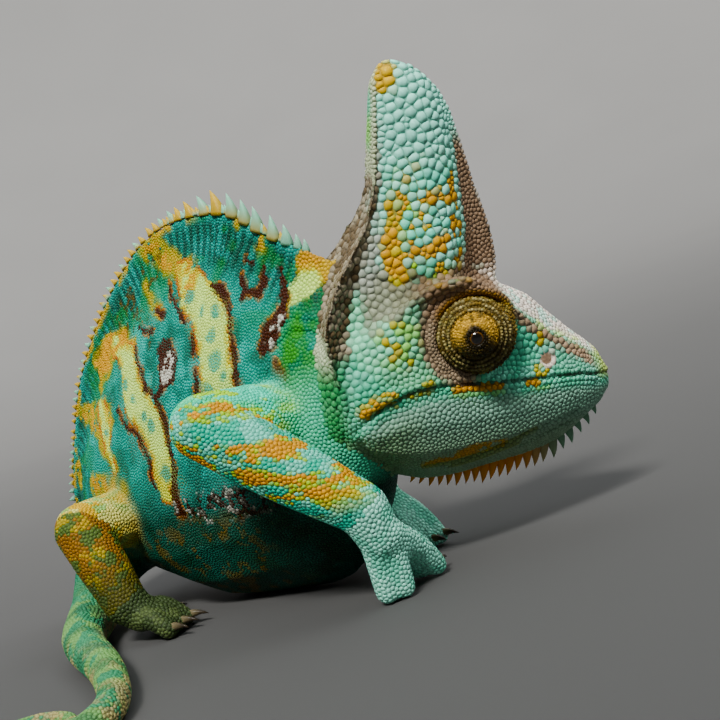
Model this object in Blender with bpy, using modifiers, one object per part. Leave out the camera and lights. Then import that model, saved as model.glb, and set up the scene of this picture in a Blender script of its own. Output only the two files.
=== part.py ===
"""A life-size still model of a male veiled chameleon, crouched on the floor, its head turned to the left.

Lengths are in millimetres and are scaled to metres as each mesh is made. The floor is z = 0.
The body faces about halfway between +X and -Y, and the head faces +X.
"""

import math
import random

import bmesh
import bpy
import numpy as np
from mathutils import Euler, Matrix, Vector

MM = 0.001
GAP = 0.3
ORIGIN = Vector((-8.2, 7.0, 0.0))

# Head, in its own frame: x to the snout tip, y to its left, z to the casque, from a point between the jaws.
HEAD_PLACE = Vector((48.9, -16.5, 31.8))
HEAD_TURN = Euler((math.radians(15.1), math.radians(9.3), math.radians(7.6)))
FOREHEAD_LINE = (
    (31.0, 2.2), (29.0, 6.4), (25.5, 9.8), (22.0, 13.0), (19.0, 16.0), (16.0, 19.6), (12.0, 22.4),
    (4.0, 25.4), (-6.0, 27.4), (-20.0, 25.0), (-31.0, 18.0),
)
RIDGE_LINE = (
    (31.0, 2.0), (28.0, 6.0), (24.0, 8.8), (19.0, 12.2), (14.5, 15.6), (11.0, 18.8), (6.0, 23.9),
    (1.5, 27.0), (-3.0, 28.2), (-9.0, 27.2), (-16.0, 23.0), (-31.0, 16.0),
)
RIDGE_HALF = (
    (31.0, 0.9), (28.0, 3.0), (24.0, 4.6), (19.0, 6.0), (14.5, 7.4), (11.0, 8.8), (6.0, 10.8),
    (0.0, 12.4), (-6.0, 12.8), (-16.0, 12.6), (-31.0, 9.0),
)
CHEEK_HALF = (
    (31.0, 1.2), (28.0, 4.0), (24.0, 5.8), (14.5, 8.0), (6.0, 9.8), (-2.0, 11.0), (-10.0, 12.8),
    (-20.0, 13.6), (-27.0, 12.6), (-31.0, 8.5),
)
LIP_LINE = (
    (31.0, 0.8), (28.3, 2.1), (22.1, 3.7), (17.4, 4.4), (12.8, 5.0), (4.0, 6.2), (-4.2, 7.3),
    (-8.6, 7.8), (-12.7, 7.9), (-18.4, 6.1), (-23.0, 3.8), (-31.0, 1.5),
)
LIP_HALF = (
    (31.0, 1.3), (28.0, 4.6), (24.0, 6.4), (17.0, 8.6), (11.0, 10.0), (4.0, 11.4), (-5.0, 13.0),
    (-12.0, 13.8), (-20.0, 13.8), (-27.0, 12.4), (-31.0, 8.5),
)
JAW_HALF = (
    (31.0, 1.0), (28.0, 4.0), (24.0, 5.8), (17.0, 8.2), (11.0, 9.8), (4.0, 11.4), (-5.0, 13.0),
    (-12.0, 13.8), (-20.0, 13.6), (-27.0, 11.5), (-31.0, 7.5),
)
FOLD_LINE = (
    (31.0, -2.2), (28.0, -4.6), (24.0, -6.0), (15.7, -7.4), (6.0, -8.0), (-2.5, -8.6), (-12.0, -8.6),
    (-20.0, -6.6), (-31.0, -2.5),
)
FOLD_HALF = (
    (31.0, 0.8), (28.0, 2.6), (24.0, 3.8), (15.7, 6.2), (6.0, 8.4), (-2.5, 9.6), (-12.0, 10.4),
    (-20.0, 10.0), (-27.0, 8.0), (-31.0, 5.5),
)
THROAT_LINE = (
    (31.0, -2.8), (30.0, -3.6), (28.0, -6.2), (25.3, -8.2), (21.9, -10.9), (17.3, -13.2), (10.6, -14.6),
    (3.9, -15.3), (-2.9, -16.2), (-9.5, -16.4), (-16.0, -14.6), (-20.0, -12.2), (-24.0, -9.0),
    (-31.0, -3.5),
)
HEAD_STATIONS = (
    31.0, 30.2, 28.5, 26.0, 22.5, 18.5, 14.5, 10.5, 6.5, 2.0, -2.5, -7.0, -12.0, -17.0, -22.0, -26.0,
    -29.0, -31.0,
)

# Casque: level sections of the head frame, from inside the head to the peak.
CREST_FRONT = (
    (8.0, 2.0), (18.0, 7.0), (23.0, 8.4), (28.7, 8.6), (34.0, 8.2), (38.9, 7.0), (42.6, 5.7),
    (47.0, 4.9), (52.6, 3.4), (58.7, 2.0), (63.0, 0.2), (66.6, -2.6), (69.0, -5.4), (70.4, -8.8),
)
BULGE_FRONT = (
    (8.0, -3.0), (22.0, -1.0), (31.3, 0.4), (36.7, 0.9), (48.0, 0.6), (55.0, 0.2), (63.0, -1.6),
    (66.6, -4.0), (69.0, -6.8), (70.4, -9.2),
)
BULGE_BACK = (
    (8.0, -24.0), (20.0, -20.5), (31.3, -16.9), (39.4, -15.1), (53.7, -13.2), (64.3, -11.8),
    (68.0, -11.6), (70.4, -10.8),
)
RIM_BACK = (
    (8.0, -28.0), (15.7, -29.6), (21.0, -30.2), (25.0, -29.2), (31.5, -25.8), (36.0, -22.2),
    (40.0, -19.4), (44.4, -17.3), (48.8, -15.9), (56.6, -14.6), (62.5, -13.8), (67.0, -13.4),
    (70.4, -11.8),
)
BULGE_HALF = (
    (8.0, 12.6), (20.0, 11.6), (27.0, 9.6), (35.0, 8.0), (45.0, 6.4), (55.0, 5.0), (62.0, 3.9),
    (67.0, 2.6), (69.3, 1.5), (70.4, 0.8),
)
RIM_HALF = (
    (8.0, 12.4), (16.0, 13.4), (25.0, 12.6), (31.0, 10.8), (36.0, 9.0), (40.0, 7.7), (44.0, 6.8),
    (49.0, 5.9), (57.0, 4.3), (62.0, 3.3), (67.0, 2.2), (70.4, 0.7),
)
NAPE_HOLLOW = (
    (8.0, -0.3), (18.0, 0.0), (26.0, 1.8), (40.0, 1.8), (48.0, 0.4), (55.0, -1.0), (64.0, -1.0),
    (70.4, 0.0),
)
BLADE_HALF = 1.1
BROW_LINE = (
    (10.0, 8.8, 18.4), (5.0, 11.2, 24.2), (-2.0, 12.7, 28.0), (-9.0, 12.6, 27.0), (-15.0, 12.0, 23.0),
)
BROW_RADII = (1.0, 1.5, 1.7, 1.5, 1.0)
CASQUE_LEVELS = (8.0, 14.0, 20.0, 25.0, 30.0, 35.0, 40.0, 45.0, 50.0, 55.0, 59.5, 63.5, 66.6, 69.0, 70.4)
CASQUE_CUT = ((-36.0, 23.5), (-14.0, 30.6), (14.0, 31.6))

# Eyes: a turned lid cone on each side, with the eyeball showing in its small opening.
EYE_PLACE = Vector((-0.4, 10.6, 17.2))
EYE_LOOKS = Vector((-0.17, 0.976, 0.13))
LID_PROFILE = (
    (7.4, 0.0), (7.4, 1.5), (8.3, 1.5), (8.65, 1.9), (8.1, 2.8), (7.0, 3.75), (5.7, 4.4), (4.95, 4.6),
    (5.2, 5.0), (4.7, 5.5), (4.3, 5.6), (4.5, 6.0), (3.7, 6.35), (3.4, 6.45), (3.3, 7.0), (0.8, 7.1),
    (-3.0, 6.2), (-4.0, 0.0),
)
PUPIL_PROFILE = ((8.8, 0.0), (8.7, 0.55), (8.35, 1.0), (7.9, 1.2), (7.7, 1.2), (7.7, 0.0))
NOSTRIL = Vector((15.0, 7.4, 8.3))
NOSTRIL_RADIUS = 1.1

# Trunk: the crest line of the back, the belly line and the half width, from inside the head to the hips.
BACK_LINE = (
    (40.0, -22.0, 60.0), (30.0, -23.5, 69.0), (20.5, -14.5, 77.2), (10.6, -1.0, 86.6),
    (-7.4, 17.0, 88.2), (-25.0, 31.3, 77.2), (-40.0, 42.5, 60.6), (-49.0, 49.6, 44.0),
    (-53.5, 52.5, 33.0), (-54.8, 51.5, 23.5), (-53.8, 46.5, 15.0),
)
BELLY_LINE = (
    (40.0, -22.0, 34.0), (30.0, -20.5, 26.0), (22.5, -15.0, 11.0), (14.5, -6.5, 1.5), (1.0, 7.0, -0.9),
    (-11.0, 18.0, -0.7), (-20.0, 27.0, 4.0), (-27.0, 33.0, 8.0), (-33.5, 36.5, 9.5), (-38.5, 38.0, 8.5),
    (-43.0, 37.5, 6.0),
)
TRUNK_HALF = (8.5, 11.0, 14.0, 17.0, 18.5, 18.0, 15.5, 12.5, 10.2, 8.6, 7.0)
FLANK_SHAPE = (
    (0.0, 0.0), (0.012, 0.055), (0.07, 0.10), (0.15, 0.24), (0.26, 0.52), (0.40, 0.80), (0.55, 0.96),
    (0.68, 1.0), (0.80, 0.93), (0.90, 0.70), (0.965, 0.38), (1.0, 0.0),
)

# Tail: down from the hips to the floor, round the right hind leg and into a flat spiral.
TAIL_PATH = (
    (-40.0, 42.5, 26.0), (-46.0, 43.0, 18.0), (-48.8, 36.5, 10.6), (-49.4, 26.5, 7.0),
    (-49.4, 15.0, 5.6), (-48.6, 3.0, 4.95), (-45.0, -9.0, 4.4), (-39.5, -22.0, 3.9),
    (-34.5, -37.0, 3.5), (-31.5, -52.0, 3.15),
)
TAIL_RADII = (10.0, 9.0, 7.8, 6.8, 5.9, 5.3, 4.8, 4.35, 3.9, 3.5)
SPIRAL_CENTRE = Vector((-48.0, -55.0, 0.0))
SPIRAL_START = 16.8
SPIRAL_END = 4.2
SPIRAL_TURNS = 1.6
SPIRAL_TIP_RADIUS = 0.9

# Limbs: joints, thicknesses at the joints, and where the two toe bundles reach the floor.
LIMBS = {
    "front_right": {
        "root": (14.5, -16.0, 38.5), "bend": (-3.0, -33.0, 44.3), "end": (21.5, -35.5, 20.0),
        "radii": (8.4, 7.0, 7.2, 5.7),
        "palm": (23.0, -34.6, 14.0), "outer": (22.8, -33.0, 2.4), "inner": (28.5, -22.0, 2.4),
        "outer_toes": 2, "inner_toes": 3,
    },
    "front_left": {
        "root": (24.0, -2.0, 38.0), "bend": (22.0, 21.0, 42.0), "end": (24.5, 9.0, 19.0),
        "radii": (8.2, 6.8, 6.8, 5.4),
        "palm": (25.0, 8.0, 13.0), "outer": (31.0, 17.5, 2.4), "inner": (32.0, 0.5, 2.4),
        "outer_toes": 2, "inner_toes": 3,
    },
    "hind_right": {
        "root": (-26.0, 31.0, 23.0), "bend": (-43.0, 9.5, 27.6), "end": (-37.0, 3.0, 9.5),
        "radii": (8.6, 6.6, 6.2, 5.4),
        "palm": (-34.5, 3.2, 6.2), "outer": (-27.0, 0.0, 2.4), "inner": (-31.0, 14.0, 2.4),
        "outer_toes": 3, "inner_toes": 2,
    },
    "hind_left": {
        "root": (-19.0, 37.0, 23.0), "bend": (-2.0, 52.0, 29.0), "end": (3.0, 42.0, 10.5),
        "radii": (8.6, 6.8, 6.2, 5.4),
        "palm": (5.0, 41.0, 6.4), "outer": (14.5, 47.0, 2.4), "inner": (13.0, 32.5, 2.4),
        "outer_toes": 3, "inner_toes": 2,
    },
}
TOE_RADIUS = 2.7
TOE_SPREAD = 3.7
CLAW_LENGTH = 3.6
CLAW_RADIUS = 0.95

# Nodes: the names of each limb's lengths, the tail's cuts and the plain colour of each part.
LIMB_NODES = {
    "front_right": ("upper_arm_right", "forearm_right", "hand_right"),
    "front_left": ("upper_arm_left", "forearm_left", "hand_left"),
    "hind_right": ("thigh_right", "shin_right", "foot_right"),
    "hind_left": ("thigh_left", "shin_left", "foot_left"),
}
HEAD_NODES = ("head", "casque", "lower_jaw", "eye_turret_right", "eye_turret_left", "eye_right", "eye_left")
TAIL_CUTS = (9, 24, 44)
TRUNK_SEEDS = (
    ("torso", (-10, 20, 45)), ("neck", (26, -16, 45)), ("tail_tip", (-51, -57, 2)),
    ("tail_mid", (-37, -38, 4)), ("tail_base", (-49, 15, 6)),
)
NECK_CUT_SHARE = 0.05
TEAL, MINT, OLIVE, BLACK = (0.10, 0.42, 0.36), (0.36, 0.66, 0.55), (0.34, 0.30, 0.08), (0.01, 0.008, 0.006)
COLOURS = {
    "head": (MINT, 0.5), "casque": (MINT, 0.5), "lower_jaw": (MINT, 0.5), "eye_turret_right": (OLIVE, 0.5),
    "eye_turret_left": (OLIVE, 0.5), "eye_right": (BLACK, 0.1), "eye_left": (BLACK, 0.1),
    "neck": (TEAL, 0.5), "torso": (TEAL, 0.5), "tail_base": (TEAL, 0.5), "tail_mid": (MINT, 0.5), "tail_tip": (MINT, 0.5),
    "upper_arm_right": (MINT, 0.5), "forearm_right": (MINT, 0.5), "hand_right": (MINT, 0.5),
    "upper_arm_left": (MINT, 0.5), "forearm_left": (MINT, 0.5), "hand_left": (MINT, 0.5),
    "thigh_right": (TEAL, 0.5), "shin_right": (TEAL, 0.5), "foot_right": (MINT, 0.5),
    "thigh_left": (TEAL, 0.5), "shin_left": (TEAL, 0.5), "foot_left": (MINT, 0.5),
}

# Rows of spines: the crest along the back and the beard under the jaw.
CREST_START = 19.0
CREST_SPINE = 4.2
CREST_SIZE = (
    (19.0, 0.42), (22.5, 0.5), (26.0, 1.0), (52.0, 1.0), (57.0, 0.78), (63.0, 0.62), (68.0, 0.45),
    (79.0, 0.4), (180.0, 0.2),
)
BEARD_SPACING = 2.3
BEARD_SPINE = 4.0
BEARD_SIZE = ((0.0, 0.5), (0.17, 0.75), (0.34, 1.0), (0.68, 1.0), (0.83, 0.72), (1.0, 0.5))


def blend_table(table, x):
    """The value at x of a smooth curve through a table of (x, value) pairs in either order."""
    rows = sorted(table)
    keys = [row[0] for row in rows]
    values = [row[1] for row in rows]
    if x <= keys[0]:
        return values[0]
    if x >= keys[-1]:
        return values[-1]
    i = max(j for j in range(len(keys) - 1) if keys[j] <= x)
    span = keys[i + 1] - keys[i]
    t = (x - keys[i]) / span

    def slope(j):
        if j in (0, len(keys) - 1):
            return 0.0 if j else (values[1] - values[0]) / (keys[1] - keys[0])
        before = (values[j] - values[j - 1]) / (keys[j] - keys[j - 1])
        after = (values[j + 1] - values[j]) / (keys[j + 1] - keys[j])
        return 0.0 if before * after <= 0 else 2 * before * after / (before + after)

    a, b = slope(i) * span, slope(i + 1) * span
    return (
        (2 * t**3 - 3 * t**2 + 1) * values[i]
        + (t**3 - 2 * t**2 + t) * a
        + (3 * t**2 - 2 * t**3) * values[i + 1]
        + (t**3 - t**2) * b
    )


def smooth_line(points, per_span):
    """Points of a Catmull-Rom curve through the given ones. They may have any number of values."""
    given = [np.array(p, float) for p in points]
    given = [2 * given[0] - given[1], *given, 2 * given[-1] - given[-2]]
    line = []
    for a, b, c, d in zip(given, given[1:], given[2:], given[3:]):
        for k in range(per_span):
            t = k / per_span
            bend = (2 * a - 5 * b + 4 * c - d) * t**2 + (3 * b - a - 3 * c + d) * t**3
            line.append(0.5 * (2 * b + (c - a) * t + bend))
    line.append(given[-2])
    return line


def mesh_object(name, bm):
    """A mesh object from a bmesh in millimetres."""
    bmesh.ops.recalc_face_normals(bm, faces=bm.faces)
    bmesh.ops.scale(bm, vec=(MM, MM, MM), verts=bm.verts)
    mesh = bpy.data.meshes.new(name)
    bm.to_mesh(mesh)
    bm.free()
    made = bpy.data.objects.new(name, mesh)
    bpy.context.scene.collection.objects.link(made)
    return made


def loft(name, rings):
    """A closed skin over rings of points, with a fan over each end."""
    bm = bmesh.new()
    made = [[bm.verts.new(Vector(p)) for p in ring] for ring in rings]
    count = len(made[0])
    for near, far in zip(made, made[1:]):
        for k in range(count):
            bm.faces.new((near[k], near[(k + 1) % count], far[(k + 1) % count], far[k]))
    for ring in (made[0], made[-1]):
        middle = bm.verts.new(sum((v.co for v in ring), Vector()) / count)
        for k in range(count):
            bm.faces.new((ring[k], ring[(k + 1) % count], middle))
    return mesh_object(name, bm)


def tube(name, points, radii, sides=12, per_span=4):
    """A round limb through points: a bevelled curve with a radius at each point and rounded ends."""
    line = smooth_line([(*p, r) for p, r in zip(points, radii)], per_span)
    stations = [(Vector(p[:3]), float(p[3])) for p in line]
    start, end = stations[0], stations[-1]
    back = (start[0] - stations[1][0]).normalized()
    ahead = (end[0] - stations[-2][0]).normalized()
    caps = [(share, math.sqrt(1 - share**2)) for share in (0.12, 0.45, 0.75, 0.94)]
    before = [(start[0] + back * start[1] * reach, start[1] * share) for share, reach in caps]
    after = [(end[0] + ahead * end[1] * reach, end[1] * share) for share, reach in reversed(caps)]
    stations = before + stations + after
    curve = bpy.data.curves.new(name, "CURVE")
    curve.dimensions = "3D"
    curve.bevel_depth = MM
    curve.bevel_resolution = sides // 2 - 2
    curve.use_fill_caps = True
    spline = curve.splines.new("POLY")
    spline.points.add(len(stations) - 1)
    for point, (place_at, radius) in zip(spline.points, stations):
        point.co = (*(place_at * MM), 1.0)
        point.radius = radius
    guide = bpy.data.objects.new(name, curve)
    bpy.context.scene.collection.objects.link(guide)
    graph = bpy.context.evaluated_depsgraph_get()
    mesh = bpy.data.meshes.new_from_object(guide.evaluated_get(graph))
    bm = bmesh.new()
    bm.from_mesh(mesh)
    bmesh.ops.remove_doubles(bm, verts=bm.verts, dist=0.00001)
    bm.to_mesh(mesh)
    bm.free()
    made = bpy.data.objects.new(name, mesh)
    bpy.context.scene.collection.objects.link(made)
    made.matrix_world = guide.matrix_world
    bpy.data.objects.remove(guide)
    return made


def ring_round(place, ahead, side, radius, sides):
    up = ahead.cross(side)
    turns = [2 * math.pi * k / sides for k in range(sides)]
    return [place + radius * (side * math.cos(a) + up * math.sin(a)) for a in turns]


def apply_modifiers(thing):
    """The object with its modifiers built into its mesh."""
    graph = bpy.context.evaluated_depsgraph_get()
    mesh = bpy.data.meshes.new_from_object(thing.evaluated_get(graph))
    thing.modifiers.clear()
    thing.data = mesh
    return thing


def fuse(name, pieces, voxel, triangles, smoothing=4):
    """One soft skin over overlapping closed pieces, thinned to about so many triangles."""
    bm = bmesh.new()
    for piece in pieces:
        bm.from_mesh(piece.data)
        bpy.data.objects.remove(piece)
    mesh = bpy.data.meshes.new(name)
    bm.to_mesh(mesh)
    bm.free()
    whole = bpy.data.objects.new(name, mesh)
    bpy.context.scene.collection.objects.link(whole)
    remesh = whole.modifiers.new("one_skin", "REMESH")
    remesh.mode = "VOXEL"
    remesh.voxel_size = voxel * MM
    soften = whole.modifiers.new("soften", "SMOOTH")
    soften.factor = 0.5
    soften.iterations = smoothing
    apply_modifiers(whole)
    keep_largest(whole)
    faces = len(whole.data.polygons) * 2
    thin = whole.modifiers.new("thin", "DECIMATE")
    thin.ratio = min(1.0, triangles / faces)
    thin.use_collapse_triangulate = True
    return apply_modifiers(whole)


def closed_surfaces(bm):
    """The faces of each closed surface of a mesh."""
    seen, islands = set(), []
    for face in bm.faces:
        if face in seen:
            continue
        island, edge_on = {face}, [face]
        while edge_on:
            for edge in edge_on.pop().edges:
                for other in edge.link_faces:
                    if other not in island:
                        island.add(other)
                        edge_on.append(other)
        seen |= island
        islands.append(island)
    return islands


def volume(island):
    """Six times the volume inside a closed surface."""
    total = 0.0
    for face in island:
        corners = [v.co for v in face.verts]
        for b, c in zip(corners[1:], corners[2:]):
            total += corners[0].dot(b.cross(c))
    return total


def keep_largest(thing):
    """Drops every closed surface of a mesh but the one with the most volume."""
    bm = bmesh.new()
    bm.from_mesh(thing.data)
    islands = closed_surfaces(bm)
    if len(islands) > 1:
        best = max(islands, key=volume)
        bmesh.ops.delete(bm, geom=[f for f in bm.faces if f not in best], context="FACES")
    bm.to_mesh(thing.data)
    bm.free()
    return thing


def swollen(thing, amount=GAP):
    """A copy of a mesh moved out along its normals, to cut its neighbours with a gap."""
    copy = bpy.data.objects.new("swollen_" + thing.name, thing.data.copy())
    bpy.context.scene.collection.objects.link(copy)
    copy.matrix_world = thing.matrix_world
    push = copy.modifiers.new("push", "DISPLACE")
    push.strength = amount * MM
    push.mid_level = 0.0
    return apply_modifiers(copy)


def boolean(thing, others, operation):
    """Joins or cuts an object with a collection of closed mesh objects, which are then removed."""
    tools = bpy.data.collections.new("tools")
    bpy.context.scene.collection.children.link(tools)
    for other in others:
        for home in list(other.users_collection):
            home.objects.unlink(other)
        tools.objects.link(other)
    work = thing.modifiers.new("work", "BOOLEAN")
    work.operation = operation
    work.operand_type = "COLLECTION"
    work.collection = tools
    work.solver = "EXACT"
    apply_modifiers(thing)
    for other in others:
        bpy.data.objects.remove(other)
    bpy.data.collections.remove(tools)
    return thing


def split(thing, names_and_seeds):
    """Parts a mesh of several closed surfaces into named objects, each the largest nearest its seed."""
    bm = bmesh.new()
    bm.from_mesh(thing.data)
    islands = closed_surfaces(bm)
    islands.sort(key=lambda island: -sum(f.calc_area() for f in island))
    islands = islands[: len(names_and_seeds)]
    made = {}
    for name, seed in names_and_seeds:
        goal = Vector(seed) * MM

        def distance(island):
            middle = sum((f.calc_center_median() * f.calc_area() for f in island), Vector())
            return (middle / sum(f.calc_area() for f in island) - goal).length

        island = min(islands, key=distance)
        islands.remove(island)
        corners = sorted({v for f in island for v in f.verts}, key=lambda v: v.index)
        index = {v: k for k, v in enumerate(corners)}
        mesh = bpy.data.meshes.new(name)
        faces = [[index[v] for v in f.verts] for f in sorted(island, key=lambda f: f.index)]
        mesh.from_pydata([v.co[:] for v in corners], [], faces)
        made[name] = bpy.data.objects.new(name, mesh)
        bpy.context.scene.collection.objects.link(made[name])
    bm.free()
    bpy.data.objects.remove(thing)
    return made


def thin_disc(place, ahead, radius):
    """A thin round slab across a limb, which parts it with the usual gap."""
    bpy.ops.mesh.primitive_cylinder_add(vertices=24, radius=radius * MM, depth=GAP * MM)
    disc = bpy.context.object
    turn = Vector(ahead).to_track_quat("Z", "Y").to_matrix().to_4x4()
    disc.matrix_world = Matrix.Translation(Vector(place) * MM) @ turn
    return disc


def floor_block():
    """A block under the floor, which trims what stands on it to flats at one level."""
    bpy.ops.mesh.primitive_cube_add(size=1.0, location=(0, 0, -0.01))
    block = bpy.context.object
    block.scale = (0.5, 0.5, 0.02)
    return block


# Head and casque
def head_ring(x):
    heights = (FOREHEAD_LINE, RIDGE_LINE, LIP_LINE, FOLD_LINE, THROAT_LINE)
    halves = (RIDGE_HALF, CHEEK_HALF, LIP_HALF, JAW_HALF, FOLD_HALF)
    top, ridge, lip, fold, throat = (blend_table(table, x) for table in heights)
    ridge_half, cheek, lips, jaw, folds = (blend_table(table, x) for table in halves)
    half = [
        (0.0, top),
        (0.5 * ridge_half, 0.55 * top + 0.45 * ridge - 0.2),
        (0.9 * ridge_half, ridge + 0.1),
        (ridge_half, ridge - 0.9),
        (0.5 * ridge_half + 0.5 * cheek, 0.62 * ridge + 0.38 * lip),
        (cheek, 0.35 * ridge + 0.65 * lip),
        (lips, lip + 1.2),
        (lips - 0.25, lip - 0.9),
        (jaw, 0.55 * lip + 0.45 * fold),
        (0.35 * jaw + 0.65 * folds, 0.15 * lip + 0.85 * fold),
        (0.75 * folds, fold - 0.25 * (fold - throat) - 0.3),
        (0.36 * folds, fold - 0.7 * (fold - throat)),
        (0.12 * folds, throat + 0.3),
        (0.0, throat),
    ]
    right = [(x, -y, z) for y, z in half]
    left = [(x, y, z) for y, z in reversed(half[1:-1])]
    return right + left


def casque_ring(z):
    tables = (CREST_FRONT, BULGE_FRONT, BULGE_BACK, RIM_BACK)
    front, bulge_front, bulge_back, rim = (blend_table(table, z) for table in tables)
    bulge, rim_half = blend_table(BULGE_HALF, z), blend_table(RIM_HALF, z)
    blade = min(BLADE_HALF, 0.8 * bulge)
    groove = min(0.72 * rim_half, 0.8 * bulge)
    hollow = blend_table(NAPE_HOLLOW, z)
    half = [
        (front, 0.0),
        (front - 0.35, 0.75 * blade),
        (0.4 * front + 0.6 * bulge_front, blade),
        (bulge_front, 0.45 * bulge + 0.2 * blade),
        (0.85 * bulge_front + 0.15 * bulge_back, 0.82 * bulge),
        (0.6 * bulge_front + 0.4 * bulge_back, bulge),
        (0.3 * bulge_front + 0.7 * bulge_back, 0.97 * bulge),
        (bulge_back, 0.84 * bulge),
        (0.5 * bulge_back + 0.5 * rim, groove),
        (0.12 * bulge_back + 0.88 * rim, 0.93 * rim_half),
        (rim, rim_half),
        (rim + 0.25 * hollow - 0.15, rim_half - 0.8),
        (rim + 0.75 * hollow, 0.5 * rim_half),
        (rim + hollow, 0.0),
    ]
    right = [(x, -y, z) for x, y in half]
    left = [(x, y, z) for x, y in reversed(half[1:-1])]
    return right + left


def head_matrix():
    return Matrix.Translation(HEAD_PLACE * MM) @ HEAD_TURN.to_matrix().to_4x4()


def build_head():
    skull = loft("skull", [head_ring(x) for x in HEAD_STATIONS])
    casque = loft("casque_form", [casque_ring(z) for z in CASQUE_LEVELS])
    brows = [
        tube("brow", [(x, side * y, z) for x, y, z in BROW_LINE], BROW_RADII, 8, 3)
        for side in (-1, 1)
    ]
    return fuse("head_whole", [skull, casque, *brows], 0.62, 3180, 3)


def eye_matrix(side):
    """The lid cone's frame in the head's: its axis looks out of the socket, a little up and back."""
    looks = Vector((EYE_LOOKS.x, side * EYE_LOOKS.y, EYE_LOOKS.z))
    socket = Matrix.Translation(Vector((EYE_PLACE.x, side * EYE_PLACE.y, EYE_PLACE.z)) * MM)
    return socket @ looks.to_track_quat("Z", "Y").to_matrix().to_4x4()


def turned(name, profile, steps):
    """A turned solid: a profile of (height, radius) pairs from the top of the axis to its foot."""
    bm = bmesh.new()
    line = [bm.verts.new(Vector((radius, 0.0, height)) * MM) for height, radius in profile]
    for a, b in zip(line, line[1:]):
        bm.edges.new((a, b))
    mesh = bpy.data.meshes.new(name)
    bm.to_mesh(mesh)
    bm.free()
    made = bpy.data.objects.new(name, mesh)
    bpy.context.scene.collection.objects.link(made)
    spin = made.modifiers.new("spin", "SCREW")
    spin.axis = "Z"
    spin.angle = 2 * math.pi
    spin.steps = spin.render_steps = steps
    spin.use_merge_vertices = True
    spin.merge_threshold = 0.00002
    apply_modifiers(made)
    bm = bmesh.new()
    bm.from_mesh(made.data)
    bmesh.ops.remove_doubles(bm, verts=bm.verts, dist=0.00002)
    bmesh.ops.recalc_face_normals(bm, faces=bm.faces)
    bm.to_mesh(made.data)
    bm.free()
    return made


def place(thing, matrix):
    thing.data.transform(matrix)
    return thing


def spike(name, rings, tip):
    """A closed point: rings of a few corners each, a flat root and a sharp tip."""
    bm = bmesh.new()
    made = [[bm.verts.new(p) for p in ring] for ring in rings]
    sides = len(rings[0])
    for near, far in zip(made, made[1:]):
        for k in range(sides):
            bm.faces.new((near[k], near[(k + 1) % sides], far[(k + 1) % sides], far[k]))
    bm.faces.new(made[0][::-1])
    end = bm.verts.new(tip)
    for k in range(sides):
        bm.faces.new((made[-1][k], made[-1][(k + 1) % sides], end))
    return mesh_object(name, bm)


def spine(place_at, out, lean, length, radius, sides=4):
    """A short curved spine: a cone whose root is sunk in and whose tip leans over."""
    rings = []
    across = out.cross(lean).normalized()
    for along, share, drift in ((-0.3, 1.0, 0.0), (0.4, 0.78, 0.08)):
        centre = place_at + out * length * along + lean * length * drift
        turns = [2 * math.pi * k / sides for k in range(sides)]
        rings.append([centre + radius * share * (lean * math.cos(a) + across * math.sin(a)) for a in turns])
    return spike("spine", rings, place_at + out * length + lean * length * 0.46)


def walk(line, spacing):
    """Places at even steps along a line of points, each with its direction and its share of the way."""
    points = [Vector(p[:3]) for p in line]
    lengths = [(b - a).length for a, b in zip(points, points[1:])]
    total = sum(lengths)
    count = max(2, int(total / spacing))
    found = []
    for k in range(count + 1):
        goal = total * k / count
        i, done = 0, 0.0
        while i < len(lengths) - 1 and done + lengths[i] < goal:
            done += lengths[i]
            i += 1
        t = (goal - done) / lengths[i]
        ahead = (points[i + 1] - points[i]).normalized()
        found.append((points[i].lerp(points[i + 1], t), ahead, k / count))
    return found


# Trunk and tail
def trunk_rings():
    back = smooth_line(BACK_LINE, 3)
    belly = smooth_line(BELLY_LINE, 3)
    halves = smooth_line([(w,) for w in TRUNK_HALF], 3)
    middles = [Vector((a + b) / 2) for a, b in zip(back, belly)]
    rings = []
    for k, (top, foot, half) in enumerate(zip(back, belly, halves)):
        top, foot = Vector(top), Vector(foot)
        ahead = middles[max(k - 1, 0)] - middles[min(k + 1, len(middles) - 1)]
        right = ahead.cross(top - foot)
        right.z = 0.0
        right.normalize()
        depth = foot - top
        low = [top + depth * t + right * share * float(half[0]) for t, share in FLANK_SHAPE]
        rows = list(reversed(FLANK_SHAPE[1:-1]))
        high = [top + depth * t - right * share * float(half[0]) for t, share in rows]
        rings.append(low + high)
    return rings


def tail_line():
    """The tail's path and radii: the hand-set points, then the spiral."""
    points = [tuple(p) for p in TAIL_PATH]
    radii = list(TAIL_RADII)
    start = math.atan2(TAIL_PATH[-1][1] - SPIRAL_CENTRE.y, TAIL_PATH[-1][0] - SPIRAL_CENTRE.x)
    steps = 14
    for k in range(1, steps + 1):
        share = k / steps
        angle = start - 2 * math.pi * SPIRAL_TURNS * share
        reach = SPIRAL_START + (SPIRAL_END - SPIRAL_START) * share
        radius = TAIL_RADII[-1] + (SPIRAL_TIP_RADIUS - TAIL_RADII[-1]) * share
        x = SPIRAL_CENTRE.x + reach * math.cos(angle)
        y = SPIRAL_CENTRE.y + reach * math.sin(angle)
        points.append((x, y, radius - 0.25))
        radii.append(radius)
    return points, radii


def build_trunk():
    body = loft("body_form", trunk_rings())
    points, radii = tail_line()
    tail = tube("tail_form", points, radii, 12, 3)
    return fuse("trunk_whole", [body, tail], 0.62, 2900, 3)


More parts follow.
